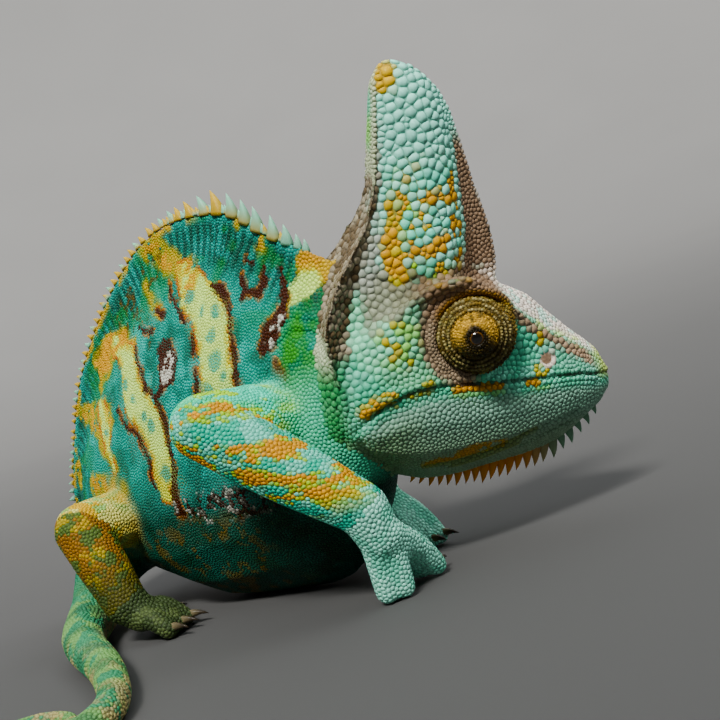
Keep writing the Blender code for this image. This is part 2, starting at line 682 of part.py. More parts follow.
# Limbs
def toe_bundle(palm, tip, toes):
    """Toes bound side by side from the palm to the floor, with the claws' places."""
    palm, tip = Vector(palm), Vector(tip)
    ahead = (tip - palm).normalized()
    flat = Vector((ahead.x, ahead.y, 0.0))
    across = Vector((1.0, 0.15, 0.0)) if flat.length < 0.4 else flat.cross(Vector((0, 0, 1)))
    across.normalize()
    made, claws = [], []
    for k in range(toes):
        aside = (k - (toes - 1) / 2) * TOE_SPREAD
        root = palm + across * aside * 0.5
        middle = palm.lerp(tip, 0.6) + across * aside * 0.9 + Vector((0, 0, 1.2))
        end = tip + across * aside
        made.append(tube("toe", [root, middle, end], (3.6, 3.0, TOE_RADIUS), 8, 3))
        claws.append((end, (end - middle).normalized()))
    return made, claws


def claw(place_at, ahead):
    """A curved horn claw from the toe's end down to the floor."""
    out = Vector((ahead.x, ahead.y, 0.15)).normalized()
    root = place_at + out * (TOE_RADIUS - 0.6)
    rings = []
    for along, share, drop in ((-0.35, 1.0, 0.0), (0.45, 0.8, 0.1)):
        centre = root + out * CLAW_LENGTH * along - Vector((0, 0, 1)) * CLAW_LENGTH * drop
        side = out.cross(Vector((0, 0, 1))).normalized()
        rings.append(ring_round(centre, out, side, CLAW_RADIUS * share, 5))
    return spike("claw", rings, root + out * CLAW_LENGTH - Vector((0, 0, 1)) * CLAW_LENGTH * 0.42)


def build_limb(name, sizes):
    root, bend, end = (Vector(sizes[k]) for k in ("root", "bend", "end"))
    shoulder, before, after, wrist = sizes["radii"]
    half_way = root.lerp(bend, 0.5) + Vector((0, 0, 0.6))
    upper = tube("upper", [root, half_way, bend], (shoulder, (shoulder + before) / 2, before), 12, 3)
    lower = tube("lower", [bend, bend.lerp(end, 0.45), end], (before, after, wrist), 12, 3)
    palm = tube("palm", [end, sizes["palm"]], (wrist, wrist * 0.86), 12, 3)
    outer, outer_claws = toe_bundle(sizes["palm"], sizes["outer"], sizes["outer_toes"])
    inner, inner_claws = toe_bundle(sizes["palm"], sizes["inner"], sizes["inner_toes"])
    return fuse(name, [upper, lower, palm, *outer, *inner], 0.55, 760, 2), outer_claws + inner_claws


def material(name, colour, roughness):
    made = bpy.data.materials.new(name)
    made.use_nodes = True
    shader = made.node_tree.nodes["Principled BSDF"]
    shader.inputs["Base Color"].default_value = (*colour, 1.0)
    shader.inputs["Roughness"].default_value = roughness
    shader.inputs["Metallic"].default_value = 0.0
    return made


def sheet(name, line, half_width):
    """A thin bent sheet across the head: a line of (x, z) points, as thick as the usual gap."""
    bm = bmesh.new()
    rings = []
    for x, z in line:
        corners = ((-1, -1), (1, -1), (1, 1), (-1, 1))
        rings.append([bm.verts.new(Vector((x, s * half_width, z + t * GAP / 2))) for s, t in corners])
    for near, far in zip(rings, rings[1:]):
        for k in range(4):
            bm.faces.new((near[k], near[(k + 1) % 4], far[(k + 1) % 4], far[k]))
    bm.faces.new(rings[0])
    bm.faces.new(rings[-1][::-1])
    return mesh_object(name, bm)


def join_spines(thing, spines):
    boolean(thing, spines, "UNION")
    return keep_largest(thing)


def crest_spines():
    """The crest of the back: stout over the shoulders, down to short blunt points over the hips."""
    random.seed(11)
    steps = walk(smooth_line(BACK_LINE[1:], 8), 0.5)
    spines = []
    goal = CREST_START
    for k, (point, ahead, share) in enumerate(steps):
        if k * 0.5 < goal or share > 0.97:
            continue
        size = blend_table(CREST_SIZE, goal)
        goal += 1.2 + 3.7 * size
        size *= random.uniform(0.88, 1.1)
        back = ahead.normalized()
        out = Vector((0, 0, 1)) - back * back.z
        out.normalize()
        spines.append(spine(point - out * 0.5, out, back, CREST_SPINE * size + 0.5, 0.4 + 1.45 * size))
    return spines


def beard_spines():
    """The beard: a comb of spines along the middle of the throat, longest half way."""
    random.seed(23)
    line = [(x, 0.0, blend_table(THROAT_LINE, x)) for x in range(-12, 30)]
    spines = []
    for point, ahead, share in walk(line, BEARD_SPACING):
        out = Vector((ahead.z, 0.0, -ahead.x))
        size = blend_table(BEARD_SIZE, share) * random.uniform(0.9, 1.1)
        radius = 0.38 * BEARD_SPACING * (0.75 + 0.4 * size)
        spines.append(spine(point - out * 0.7, out, -ahead, BEARD_SPINE * size + 0.7, radius))
    return spines


def main():
    for thing in list(bpy.data.objects):
        bpy.data.objects.remove(thing)
    collection = bpy.data.collections.new("veiled_chameleon")
    bpy.context.scene.collection.children.link(collection)

    head = build_head()
    trunk = build_trunk()
    nodes = {}

    turrets = {}
    for name, side in (("right", -1), ("left", 1)):
        turret = place(turned("eye_turret_" + name, LID_PROFILE, 18), eye_matrix(side))
        nodes["eye_" + name] = place(turned("eye_" + name, PUPIL_PROFILE, 12), eye_matrix(side))
        nodes["eye_turret_" + name] = turrets[name] = turret
    head_world = bpy.data.objects.new("head_world", head.data.copy())
    bpy.context.scene.collection.objects.link(head_world)
    head_world.data.transform(head_matrix())
    head_swollen = swollen(head_world)
    bpy.data.objects.remove(head_world)

    cuts = [swollen(turret) for turret in turrets.values()]
    cuts.append(sheet("mouth_cut", [(x, blend_table(LIP_LINE, x)) for x in range(-34, 35, 2)], 22.0))
    cuts.append(sheet("casque_cut", CASQUE_CUT, 22.0))
    for side in (-1, 1):
        bpy.ops.mesh.primitive_cylinder_add(vertices=10, radius=NOSTRIL_RADIUS * MM, depth=3.0 * MM)
        pit = bpy.context.object
        pit_at = Vector((NOSTRIL.x, side * NOSTRIL.y, NOSTRIL.z)) * MM
        pit.matrix_world = Matrix.Translation(pit_at) @ Matrix.Rotation(math.radians(side * -62), 4, "X")
        cuts.append(pit)
    boolean(head, cuts, "DIFFERENCE")
    nodes.update(split(head, (("head", (-5, 0, 14)), ("lower_jaw", (0, 0, -5)), ("casque", (-8, 0, 48)))))
    join_spines(nodes["lower_jaw"], beard_spines())

    trunk_swollen = swollen(trunk)
    points, radii = tail_line()
    tail = smooth_line(points, 4)
    tail_radii = [float(r[0]) for r in smooth_line([(r,) for r in radii], 4)]
    cuts = [head_swollen, floor_block()]
    for index in TAIL_CUTS:
        ahead = Vector(tail[index + 1]) - Vector(tail[index - 1])
        cuts.append(thin_disc(tail[index][:3], ahead, 1.35 * tail_radii[index] + 1.0))
    neck_at = (Vector(BACK_LINE[1]) * NECK_CUT_SHARE + Vector(BACK_LINE[2]) * (1 - NECK_CUT_SHARE))
    neck_foot = (Vector(BELLY_LINE[1]) * NECK_CUT_SHARE + Vector(BELLY_LINE[2]) * (1 - NECK_CUT_SHARE))
    across = (neck_at - neck_foot).cross(Vector(BACK_LINE[1]) - Vector(BACK_LINE[2])).normalized()
    cuts.append(thin_disc((neck_at + neck_foot) / 2, across.cross(neck_at - neck_foot), 42.0))
    copy_head = head_swollen.copy()
    copy_head.data = head_swollen.data.copy()
    bpy.context.scene.collection.objects.link(copy_head)
    boolean(trunk, cuts, "DIFFERENCE")
    nodes.update(split(trunk, TRUNK_SEEDS))
    join_spines(nodes["torso"], crest_spines())

    for name, sizes in LIMBS.items():
        limb, claws = build_limb(name, sizes)
        bend, end, root = (Vector(sizes[k]) for k in ("bend", "end", "root"))
        body = trunk_swollen.copy()
        body.data = trunk_swollen.data.copy()
        skull = copy_head.copy()
        skull.data = copy_head.data.copy()
        for tool in (body, skull):
            bpy.context.scene.collection.objects.link(tool)
        cuts = [body, skull, floor_block()]
        inward = ((root - bend).normalized() + (end - bend).normalized()).normalized()
        along, down = (bend - root).normalized(), (end - bend).normalized()
        onward = (Vector(sizes["palm"]) - end).normalized()
        cuts.append(thin_disc(bend + inward * 7.0, along + down, 18.0))
        cuts.append(thin_disc(end, down + onward, 10.0))
        boolean(limb, cuts, "DIFFERENCE")
        names = LIMB_NODES[name]
        foot_at = (Vector(sizes["outer"]) + Vector(sizes["inner"])) / 2
        seeds = ((names[2], foot_at), (names[1], bend.lerp(end, 0.5)), (names[0], root.lerp(bend, 0.6)))
        nodes.update(split(limb, seeds))
        horns = [claw(*item) for item in claws]
        join_spines(nodes[names[2]], horns)
    bpy.data.objects.remove(trunk_swollen)
    bpy.data.objects.remove(copy_head)

    whole = bpy.data.objects.new("veiled_chameleon_origin", None)
    skull_frame = bpy.data.objects.new("head_frame", None)
    for empty in (whole, skull_frame):
        collection.objects.link(empty)
    whole.location = ORIGIN * MM
    skull_frame.parent = whole
    skull_frame.location = HEAD_PLACE * MM
    skull_frame.rotation_euler = HEAD_TURN
    for name, node in nodes.items():
        node.name = node.data.name = name
        for home in list(node.users_collection):
            home.objects.unlink(node)
        collection.objects.link(node)
        node.parent = skull_frame if name in HEAD_NODES else whole
        node.data.materials.clear()
        colour, roughness = COLOURS[name]
        node.data.materials.append(material(name + "_skin", colour, roughness))
        for polygon in node.data.polygons:
            polygon.use_smooth = True
            polygon.material_index = 0


main()
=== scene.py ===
"""The looks of a life-size male veiled chameleon, crouched on a pale floor with its head turned."""

import math

import bpy
import numpy as np
from mathutils import Euler, Matrix, Vector
from mathutils.bvhtree import BVHTree
from mathutils.kdtree import KDTree


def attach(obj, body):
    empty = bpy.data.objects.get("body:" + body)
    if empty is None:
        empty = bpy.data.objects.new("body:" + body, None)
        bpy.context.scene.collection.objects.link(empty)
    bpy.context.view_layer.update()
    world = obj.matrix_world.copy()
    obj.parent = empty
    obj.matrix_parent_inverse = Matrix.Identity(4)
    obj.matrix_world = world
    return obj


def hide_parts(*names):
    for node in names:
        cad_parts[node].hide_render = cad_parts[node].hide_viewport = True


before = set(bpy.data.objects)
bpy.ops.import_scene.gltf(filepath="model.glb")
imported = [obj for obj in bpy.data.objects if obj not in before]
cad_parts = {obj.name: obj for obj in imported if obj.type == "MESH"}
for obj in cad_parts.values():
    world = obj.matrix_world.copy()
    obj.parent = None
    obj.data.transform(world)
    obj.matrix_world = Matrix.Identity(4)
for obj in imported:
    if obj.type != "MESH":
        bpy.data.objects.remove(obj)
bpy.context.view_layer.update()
bpy.ops.object.select_all(action="DESELECT")
rng = np.random.default_rng(7)
MM = 0.001

# Camera
# It stands a few centimetres above the floor at the animal's right side, tipped a little down and
# turned about its own axis, because the animal leaned that way.
CAMERA_AT = (0.0218, -0.258, 0.05943)
CAMERA_DOWN = math.radians(3)
CAMERA_ROLL = math.radians(-18)
LENS_MM = 60
SENSOR_MM = 36


def add_object(name, data):
    """A new object at the origin, in the scene's own collection."""
    thing = bpy.data.objects.new(name, data)
    bpy.context.scene.collection.objects.link(thing)
    return thing


camera = add_object("camera", bpy.data.cameras.new("camera"))
camera.data.lens = LENS_MM
camera.data.sensor_width = SENSOR_MM
camera.data.clip_start = 0.01
camera.matrix_world = (
    Matrix.Translation(CAMERA_AT)
    @ Matrix.Rotation(math.pi / 2 - CAMERA_DOWN, 4, "X")
    @ Matrix.Rotation(CAMERA_ROLL, 4, "Z")
)
bpy.context.scene.camera = camera

# Floor and light
# A pale matt studio floor that sweeps up into a wall all round, lit by large soft lamps.
FLOOR_REACH = 1.1
SWEEP = 1.5
WALL_TOP = 2.6
SWEEP_STARTS = 0.12
SWEEP_STEPS = 24
TURN_STEPS = 72


class Finish:
    """A material with a Principled shader, and short ways to add its other nodes."""

    def __init__(self, name, roughness, **values):
        self.material = bpy.data.materials.new(name)
        self.material.use_nodes = True
        self.tree = self.material.node_tree
        self.shader = self.tree.nodes["Principled BSDF"]
        self.shader.inputs["Roughness"].default_value = roughness
        for socket, value in values.items():
            self.shader.inputs[socket.replace("_", " ")].default_value = value

    def node(self, kind, inputs=(), output=0, **settings):
        """Adds a node, with values or links for its inputs by name or number, and gives its output."""
        made = self.tree.nodes.new(kind)
        for key, value in settings.items():
            setattr(made, key, value)
        for key, value in dict(inputs).items():
            if isinstance(value, bpy.types.NodeSocket):
                self.tree.links.new(value, made.inputs[key])
            else:
                made.inputs[key].default_value = value
        return made.outputs[output]

    def feed(self, socket, value):
        self.tree.links.new(value, self.shader.inputs[socket])

    def object_noise(self, scale, detail=3.0):
        where = self.node("ShaderNodeTexCoord", output="Object")
        return self.node("ShaderNodeTexNoise", {"Vector": where, "Scale": scale, "Detail": detail})

    def tint(self):
        """The colour stored at the points of the mesh."""
        return self.node("ShaderNodeVertexColor", layer_name="tint")

    def bump(self, height, distance):
        raised = {"Height": height, "Distance": distance, "Strength": 1.0}
        self.feed("Normal", self.node("ShaderNodeBump", raised))


def start_editing(thing):
    bpy.context.view_layer.objects.active = thing
    thing.select_set(True)
    bpy.ops.object.mode_set(mode="EDIT")
    bpy.ops.mesh.select_all(action="SELECT")


def turned(name, profile, merge, inside):
    """A round piece: a line of (radius, height) places turned about the upright axis."""
    mesh = bpy.data.meshes.new(name)
    mesh.from_pydata([(r, 0.0, h) for r, h in profile], [(k, k + 1) for k in range(len(profile) - 1)], [])
    thing = add_object(name, mesh)
    start_editing(thing)
    bpy.ops.mesh.spin(steps=TURN_STEPS, angle=2 * math.pi, center=(0, 0, 0), axis=(0, 0, 1))
    bpy.ops.mesh.select_all(action="SELECT")
    bpy.ops.mesh.remove_doubles(threshold=merge)
    bpy.ops.mesh.normals_make_consistent(inside=inside)
    bpy.ops.object.mode_set(mode="OBJECT")
    bpy.ops.object.shade_smooth()
    thing.select_set(False)
    return thing


profile = [(0.0, 0.0), (FLOOR_REACH, 0.0)]
for a in np.linspace(SWEEP_STARTS, math.pi / 2, SWEEP_STEPS):
    profile.append((FLOOR_REACH + SWEEP * math.sin(a), SWEEP - SWEEP * math.cos(a)))
profile.append((FLOOR_REACH + SWEEP, WALL_TOP))
floor = turned("floor", profile, 0.0001, inside=True)
floor_finish = Finish("pale_floor", roughness=0.85)
floor_tones = floor_finish.node("ShaderNodeValToRGB", {"Fac": floor_finish.object_noise(6.0)})
floor_tones.node.color_ramp.elements[0].color = (0.066, 0.066, 0.065, 1)
floor_tones.node.color_ramp.elements[1].color = (0.075, 0.075, 0.074, 1)
floor_finish.feed("Base Color", floor_tones)
floor.data.materials.append(floor_finish.material)

# A broad lamp from the upper left front, a weak one from the right and an even sky.
for name, towards, power, width, colour in (
    ("key_lamp", (-0.25, -1.0, 0.9), 16.0, 20.0, (1.0, 0.98, 0.94)),
    ("side_lamp", (0.9, -0.2, 0.8), 2.2, 40.0, (0.95, 0.98, 1.0)),
):
    lamp = add_object(name, bpy.data.lights.new(name, "SUN"))
    lamp.rotation_euler = (-Vector(towards)).to_track_quat("-Z", "Y").to_euler()
    lamp.data.energy = power
    lamp.data.angle = math.radians(width)
    lamp.data.color = colour
world = bpy.data.worlds.new("studio")
world.use_nodes = True
sky = world.node_tree.nodes["Background"]
sky.inputs["Color"].default_value = (0.95, 0.975, 1.0, 1)
sky.inputs["Strength"].default_value = 1.25
bpy.context.scene.world = world

# Skin
# One soft skin over the whole animal, from the solids of its flesh: they are grown together, freed
# of the plain spines, softened, and drawn in by the depth of the scales. Head sizes are in the
# head's own frame, x to the snout, y to its left and z to the casque, and all sizes in millimetres.
SKIN_GRAIN = 0.6
GROWTH = 0.25
COAT_DEPTH = 0.42
SKIN_QUADS = 88000
UNWRAP_ANGLE = math.radians(66)
CREST_REACH = 7
HEAD_AT = np.array([40.7, -9.5, 31.8])
HEAD_TURN = np.array(Euler((math.radians(15.1), math.radians(9.3), math.radians(7.6))).to_matrix())
FLESH = [
    "head", "casque", "lower_jaw", "neck", "torso", "tail_base", "tail_mid", "tail_tip",
]
for side in ("_right", "_left"):
    FLESH += [part + side for part in ("upper_arm", "forearm", "hand", "thigh", "shin", "foot")]
ORIGIN = np.array([-8.2, 7.0, 0.0])
BACK_LINE = np.array([
    (30.0, -23.5, 69.0), (20.5, -14.5, 77.2), (10.6, -1.0, 86.6), (-7.4, 17.0, 88.2), (-25.0, 31.3, 77.2),
    (-40.0, 42.5, 60.6), (-49.0, 49.6, 44.0), (-53.5, 52.5, 33.0), (-54.8, 51.5, 23.5), (-53.8, 46.5, 15.0),
]) + ORIGIN
THROAT_LINE = np.array([
    (-31.0, -3.5), (-24.0, -9.0), (-20.0, -12.2), (-16.0, -14.6), (-9.5, -16.4), (-2.9, -16.2),
    (3.9, -15.3), (10.6, -14.6), (17.3, -13.2), (21.9, -10.9), (25.3, -8.2), (28.0, -6.2), (30.0, -3.6),
    (31.0, -2.8),
])


def read(table, x):
    """The value at x of a table of (x, value) rows in rising order."""
    return np.interp(x, table[:, 0], table[:, 1])


def smooth_line(points, per_span):
    """Points of a Catmull-Rom curve through the given ones."""
    given = [np.array(p, float) for p in points]
    given = [2 * given[0] - given[1], *given, 2 * given[-1] - given[-2]]
    line = []
    for a, b, c, d in zip(given, given[1:], given[2:], given[3:]):
        for t in np.arange(per_span) / per_span:
            bend = (2 * a - 5 * b + 4 * c - d) * t**2 + (3 * b - a - 3 * c + d) * t**3
            line.append(0.5 * (2 * b + (c - a) * t + bend))
    line.append(given[-2])
    return np.array(line)


def in_head(points):
    """Points of the body in the head's own frame."""
    return (points - HEAD_AT) @ HEAD_TURN


def in_half_head(points):
    """The same, with the right half laid over the left one."""
    local = in_head(points)
    local[:, 1] = np.abs(local[:, 1])
    return local


def from_head(points):
    return np.asarray(points) @ HEAD_TURN.T + HEAD_AT


def normed(rows):
    return rows / np.linalg.norm(rows, axis=1)[:, None]


crest_line = smooth_line(BACK_LINE, 20)
crest_ahead = normed(np.gradient(crest_line, axis=0))
crest_out = normed(np.array([0, 0, 1.0]) - crest_ahead * crest_ahead[:, 2:3])


def lengths_along(line):
    """How far along a line each of its points lies."""
    return np.concatenate([[0], np.cumsum(np.linalg.norm(np.diff(line, axis=0), axis=1))])


crest_along = lengths_along(crest_line)


def near_crest(points):
    """For each point the nearest place of the crest line, and the distance to it."""
    nearest = np.zeros(len(points), int)
    reach = np.zeros(len(points))
    for start in range(0, len(points), 4000):
        batch = slice(start, start + 4000)
        gaps = np.linalg.norm(points[batch, None] - crest_line[None], axis=2)
        nearest[batch] = gaps.argmin(1)
        reach[batch] = gaps.min(1)
    return nearest, reach


def mesh_points(mesh):
    points = np.empty(len(mesh.vertices) * 3)
    mesh.vertices.foreach_get("co", points)
    return points.reshape(-1, 3) / MM


def set_points(mesh, points):
    mesh.vertices.foreach_set("co", (points * MM).ravel())
    mesh.update()


bodies = []
for name in FLESH:
    flesh = add_object("flesh_" + name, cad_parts[name].data.copy())
    points = mesh_points(flesh.data)
    if name == "torso":
        nearest, reach = near_crest(points)
        above = ((points - crest_line[nearest]) * crest_out[nearest]).sum(1) + 0.4
        above[(reach > CREST_REACH) | (above < 0)] = 0
        points -= crest_out[nearest] * above[:, None]
    if name == "lower_jaw":
        local = in_head(points)
        local[:, 2] = np.maximum(local[:, 2], read(THROAT_LINE, local[:, 0]) - 0.1)
        points = from_head(local)
    set_points(flesh.data, points)
    flesh.select_set(True)
    bodies.append(flesh)
skin = bodies[0]
bpy.context.view_layer.objects.active = skin
bpy.ops.object.join()
skin.name = skin.data.name = "skin"
start_editing(skin)
bpy.ops.mesh.remove_doubles(threshold=0.000001)
bpy.ops.object.mode_set(mode="OBJECT")
skin.data.materials.clear()


def stop_editing(thing):
    bpy.ops.object.mode_set(mode="OBJECT")
    thing.select_set(False)


def unwrap(thing, margin):
    """Lays the whole mesh out flat, in a map named OFBake."""
    start_editing(thing)
    bpy.ops.uv.smart_project(angle_limit=UNWRAP_ANGLE, island_margin=margin)
    stop_editing(thing)
    thing.data.uv_layers[0].name = "OFBake"


def finish_piece(piece, material, replaces=()):
    """Gives a piece its material and its body, and hides the solids that it stands for."""
    piece.data.materials.append(material)
    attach(piece, "root")
    if replaces:
        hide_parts(*replaces)


def shape(thing, kind, **settings):
    """Adds a modifier and applies it."""
    bpy.context.view_layer.objects.active = thing
    modifier = thing.modifiers.new(kind.lower(), kind)
    for key, value in settings.items():
        setattr(modifier, key, value)
    bpy.ops.object.modifier_apply(modifier=modifier.name)


shape(skin, "DISPLACE", strength=GROWTH * MM, mid_level=0.0)
shape(skin, "REMESH", mode="VOXEL", voxel_size=SKIN_GRAIN * MM)
shape(skin, "SMOOTH", factor=0.5, iterations=4)
shape(skin, "DISPLACE", strength=-(GROWTH + COAT_DEPTH) * MM, mid_level=0.0)

# Folds and lines of the skin
# The line of the mouth, the creases of the jaw and neck, the hollow round each eye, the nostrils and
# the folds of the back and armpits. Each is drawn on the soft skin before the scales are laid.
LIP_LINE = np.array([
    (-31.0, 0.6), (-26.0, 1.6), (-23.0, 3.6), (-20.9, 5.0), (-18.4, 6.1), (-15.7, 7.3), (-12.7, 8.0),
    (-8.6, 7.9), (-4.2, 7.3), (4.0, 6.2), (12.8, 5.0), (17.4, 4.4), (22.1, 3.7), (28.3, 2.1), (31.0, 0.8),
])
EYE_AT = np.array([-0.4, 10.6, 17.2])
NOSTRIL_AT = np.array([15.0, 6.6, 8.0])
# Each fold: its line, how far it rises or sinks, and its width.
HEAD_FOLDS = (
    (((-8.0, 6.2), (-11.8, 6.0), (-17.0, 4.4), (-20.5, 2.0)), -0.5, 1.6),
    (((-17.5, 6.6), (-21.0, 4.9), (-23.5, 3.3), (-26.0, 0.5)), -0.6, 0.55),
    (((-18.2, 8.0), (-21.5, 6.7), (-23.8, 4.9)), 0.5, 1.0),
    (((-10.5, 9.4), (-14.0, 9.0), (-18.0, 8.2)), 0.35, 0.8),
    (((21.5, -7.2), (17.0, -7.7), (13.2, -9.0), (8.9, -10.6)), -0.55, 0.45),
    (((12.0, -6.4), (5.0, -8.5), (-0.4, -9.7), (-5.8, -10.5), (-12.0, -10.2)), -0.6, 0.5),
    (((8.0, -8.9), (0.0, -10.8), (-6.0, -11.6)), 0.4, 0.7),
    (((22.0, -4.6), (15.0, -5.6), (9.0, -7.0)), -0.3, 0.4),
    (((-3.0, 29.6), (-9.0, 28.6), (-15.0, 28.4), (-19.0, 30.0)), -0.4, 0.5),
    (((-10.5, 25.0), (-10.2, 19.0), (-9.8, 15.0), (-7.5, 10.8), (-2.0, 8.9)), -0.4, 0.5),
    (((-25.5, 14.0), (-26.4, 6.0), (-24.5, -3.0), (-20.0, -9.0)), -0.5, 0.6),
    (((-28.0, 15.0), (-28.8, 6.0), (-27.5, -3.0)), -0.5, 0.6),
    (((-16.5, 22.0), (-15.5, 17.5)), 0.55, 3.4),
)
FLANK_FOLDS = (
    (((-28.0, 83.0), (-26.5, 77.0), (-24.5, 71.5)), -0.8, 1.3),
    (((9.6, 48.0), (12.0, 54.0), (18.0, 56.6), (24.5, 54.5)), -0.45, 0.5),
    (((7.4, 48.0), (10.5, 56.0), (18.0, 59.0), (26.0, 56.0)), -0.35, 0.5),
    (((-27.0, 25.0), (-16.0, 22.5), (-4.0, 22.0)), -0.4, 0.6),
)
# The way ahead along the flank, seen from above.
FLANK_AHEAD = np.array([math.cos(math.radians(36)), -math.sin(math.radians(36))])


def stroke(a, z, line):
    """How far points lie outside a stroke, which is a line of (a, z) or (a, z, half width) places."""
    best = np.full(len(a), 1e9)
    for start, end in zip(line, line[1:]):
        (a0, z0, *w0), (a1, z1, *w1) = start, end
        da, dz = a1 - a0, z1 - z0
        t = np.clip(((a - a0) * da + (z - z0) * dz) / (da * da + dz * dz), 0, 1)
        wide = w0[0] + (w1[0] - w0[0]) * t if w0 else 0
        best = np.minimum(best, np.hypot(a - a0 - t * da, z - z0 - t * dz) - wide)
    return best


def soft(value, low, high):
    """0 at low, 1 at high, and smooth between, whichever is the larger."""
    t = np.clip((value - low) / (high - low), 0, 1)
    return t * t * (3 - 2 * t)


def bell(distance, width):
    return np.exp(-((distance / width) ** 2))


points = mesh_points(skin.data)
normals = np.empty(len(points) * 3)
skin.data.vertices.foreach_get("normal", normals)
normals = normals.reshape(-1, 3)
lift = np.zeros(len(points))
local = in_half_head(points)
on_head = (local[:, 0] > -29) & (local[:, 0] < 33) & (local[:, 1] < 20) & (local[:, 2] > -20)
x, y, z = local[on_head].T
rise = -0.42 * bell(z - read(LIP_LINE, x), 0.34) * soft(x, -24, -22)
for line, height, width in HEAD_FOLDS:
    rise += height * bell(stroke(x, z, line), width) * soft(y, 1.5, 4)
from_eye = np.hypot(x - EYE_AT[0], z - EYE_AT[2])
for out, height, width in ((7.5, -0.1, 0.5), (8.6, 0.4, 0.8), (10.0, -0.35, 0.5)):
    rise += height * bell(from_eye - out, width) * soft(y, 6, 8)
from_nostril = np.linalg.norm(local[on_head] - NOSTRIL_AT, axis=1)
rise += 0.45 * bell(from_nostril - 1.75, 0.5) - 2.3 * bell(from_nostril, 0.95)
lift[on_head] = rise
on_flank = (points[:, :2] @ FLANK_AHEAD < 28) & ~on_head
a, z = points[:, :2] @ FLANK_AHEAD, points[:, 2]
nearest, reach = near_crest(points)
wave = 0.13 * np.sin(crest_along[nearest] * 2.4) * soft(reach, 2, 4) * soft(reach, 17, 11)
for line, height, width in FLANK_FOLDS:
    wave += height * bell(stroke(a, z, line), width)
in_trunk = reach < 62
lift += np.where(on_flank & in_trunk & (points[:, 2] > 20), wave, 0)
points += normals * lift[:, None]
set_points(skin.data, points)
bpy.ops.object.shade_smooth()

form_points = points
form_faces = np.array([p.vertices[:] for p in skin.data.polygons])
form_tree = BVHTree.FromPolygons(form_points.tolist(), form_faces.tolist())
shape(skin, "DECIMATE", ratio=min(1.0, SKIN_QUADS / len(form_faces)))
unwrap(skin, 0.001)

# Which part of the body each place of the skin belongs to.
node_points, node_faces, node_of_face = [], [], []
for k, name in enumerate(FLESH):
    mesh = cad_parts[name].data
    base = len(node_points)
    node_points += [v.co / MM for v in mesh.vertices]
    node_faces += [[base + i for i in p.vertices] for p in mesh.polygons]
    node_of_face += [k] * len(mesh.polygons)
node_tree = BVHTree.FromPolygons(node_points, node_faces)


def part_of(points):
    """The index in FLESH of the solid that each point is nearest."""
    return np.array([node_of_face[node_tree.find_nearest(p)[2]] for p in points.tolist()])


# Colours
# The living skin's markings: turquoise flanks with pale yellow bands edged in brown, an aqua head
# with orange blotches, and mottled legs. The skin and every scale take their colour from here.
def rgb(red, green, blue):
    """A colour given as it looks on a screen, from 0 to 255, in linear values."""
    c = np.array([red, green, blue]) / 255
    return np.where(c < 0.04045, c / 12.92, ((c + 0.055) / 1.055) ** 2.4)


LUMINANCE = np.array([0.2126, 0.7152, 0.0722])
LIVELY = 1.38
MINT = rgb(186, 250, 232)
AQUA = rgb(128, 216, 182)
JAW_AQUA = rgb(152, 186, 168)
JAW_GREEN = rgb(142, 162, 134)
TURQUOISE = rgb(50, 156, 142)
BRIGHT_TEAL = rgb(80, 190, 178)
DEEP_TEAL = rgb(20, 90, 72)
SHADE_TEAL = rgb(8, 52, 40)
ORANGE = rgb(210, 166, 0)
YELLOW_GREEN = rgb(176, 222, 70)
PALE_YELLOW = rgb(224, 254, 164)
GREEN = rgb(78, 144, 72)
BROWN = rgb(58, 28, 8)
RUST = rgb(176, 98, 8)
BLADE_BROWN = rgb(142, 122, 104)
BEIGE = rgb(250, 240, 228)
CHALK = rgb(226, 226, 214)
GOLD_BROWN = rgb(126, 92, 26)
TAIL_GREEN = rgb(132, 172, 118)
TAIL_BEIGE = rgb(196, 172, 132)
TAIL_ROOT = np.array([-65.0, 47.6, 10.0])
ROOT_GREEN = rgb(50, 124, 98)

# Strokes on the flank: (along the body, height, half width).
BAND_FRONT = (
    (-16.0, 76.5, 2.6), (-12.9, 72.0, 4.3), (-7.6, 67.0, 5.3), (-6.0, 62.5, 5.2), (-5.6, 57.0, 5.2),
    (-5.0, 51.0, 5.0), (-4.0, 44.0, 4.0), (-2.5, 37.0, 2.2),
)
BAND_MIDDLE = (
    (-46.0, 66.0, 2.4), (-40.0, 62.5, 3.0), (-37.9, 58.5, 4.0), (-37.4, 54.5, 4.6), (-33.0, 49.5, 4.4),
    (-29.8, 45.0, 4.2), (-28.6, 40.2, 3.8), (-28.6, 34.9, 3.4), (-29.8, 30.0, 2.0),
)
BAND_REAR = ((-54.5, 53.5, 2.0), (-52.0, 49.0, 2.8), (-50.0, 43.5, 1.8), (-48.6, 38.0, 0.8))
BAND_EDGES = (
    ((-21.3, 74.8, 0.3), (-20.2, 71.4, 0.5), (-16.2, 68.0, 0.6), (-14.6, 65.4, 0.4)),
    ((-12.8, 62.0, 0.6), (-12.4, 58.6, 0.7)), ((-12.0, 54.5, 0.5), (-11.6, 49.0, 0.7), (-10.0, 43.0, 0.4)),
    ((-5.9, 71.2, 0.5), (-1.9, 68.3, 1.0), (0.0, 65.0, 0.6)),
    ((0.0, 65.0, 0.6), (0.0, 59.8, 0.4), (1.0, 55.5, 0.8), (0.8, 49.5, 0.6), (1.5, 43.0, 0.4)),
    (
        (-35.7, 63.3, 0.4), (-32.4, 58.6, 0.4), (-31.0, 55.0, 0.7), (-27.0, 51.6, 0.8), (-24.6, 46.3, 0.7),
        (-24.0, 40.8, 0.6),
    ),
    ((-24.0, 40.8, 0.6), (-24.4, 35.2, 0.8), (-27.0, 30.2, 1.3), (-26.7, 25.8, 1.5)),
    ((-44.9, 51.2, 0.3), (-38.9, 47.0, 0.4), (-34.8, 43.3, 0.5), (-32.9, 37.3, 0.4), (-32.9, 31.6, 0.4)),
)
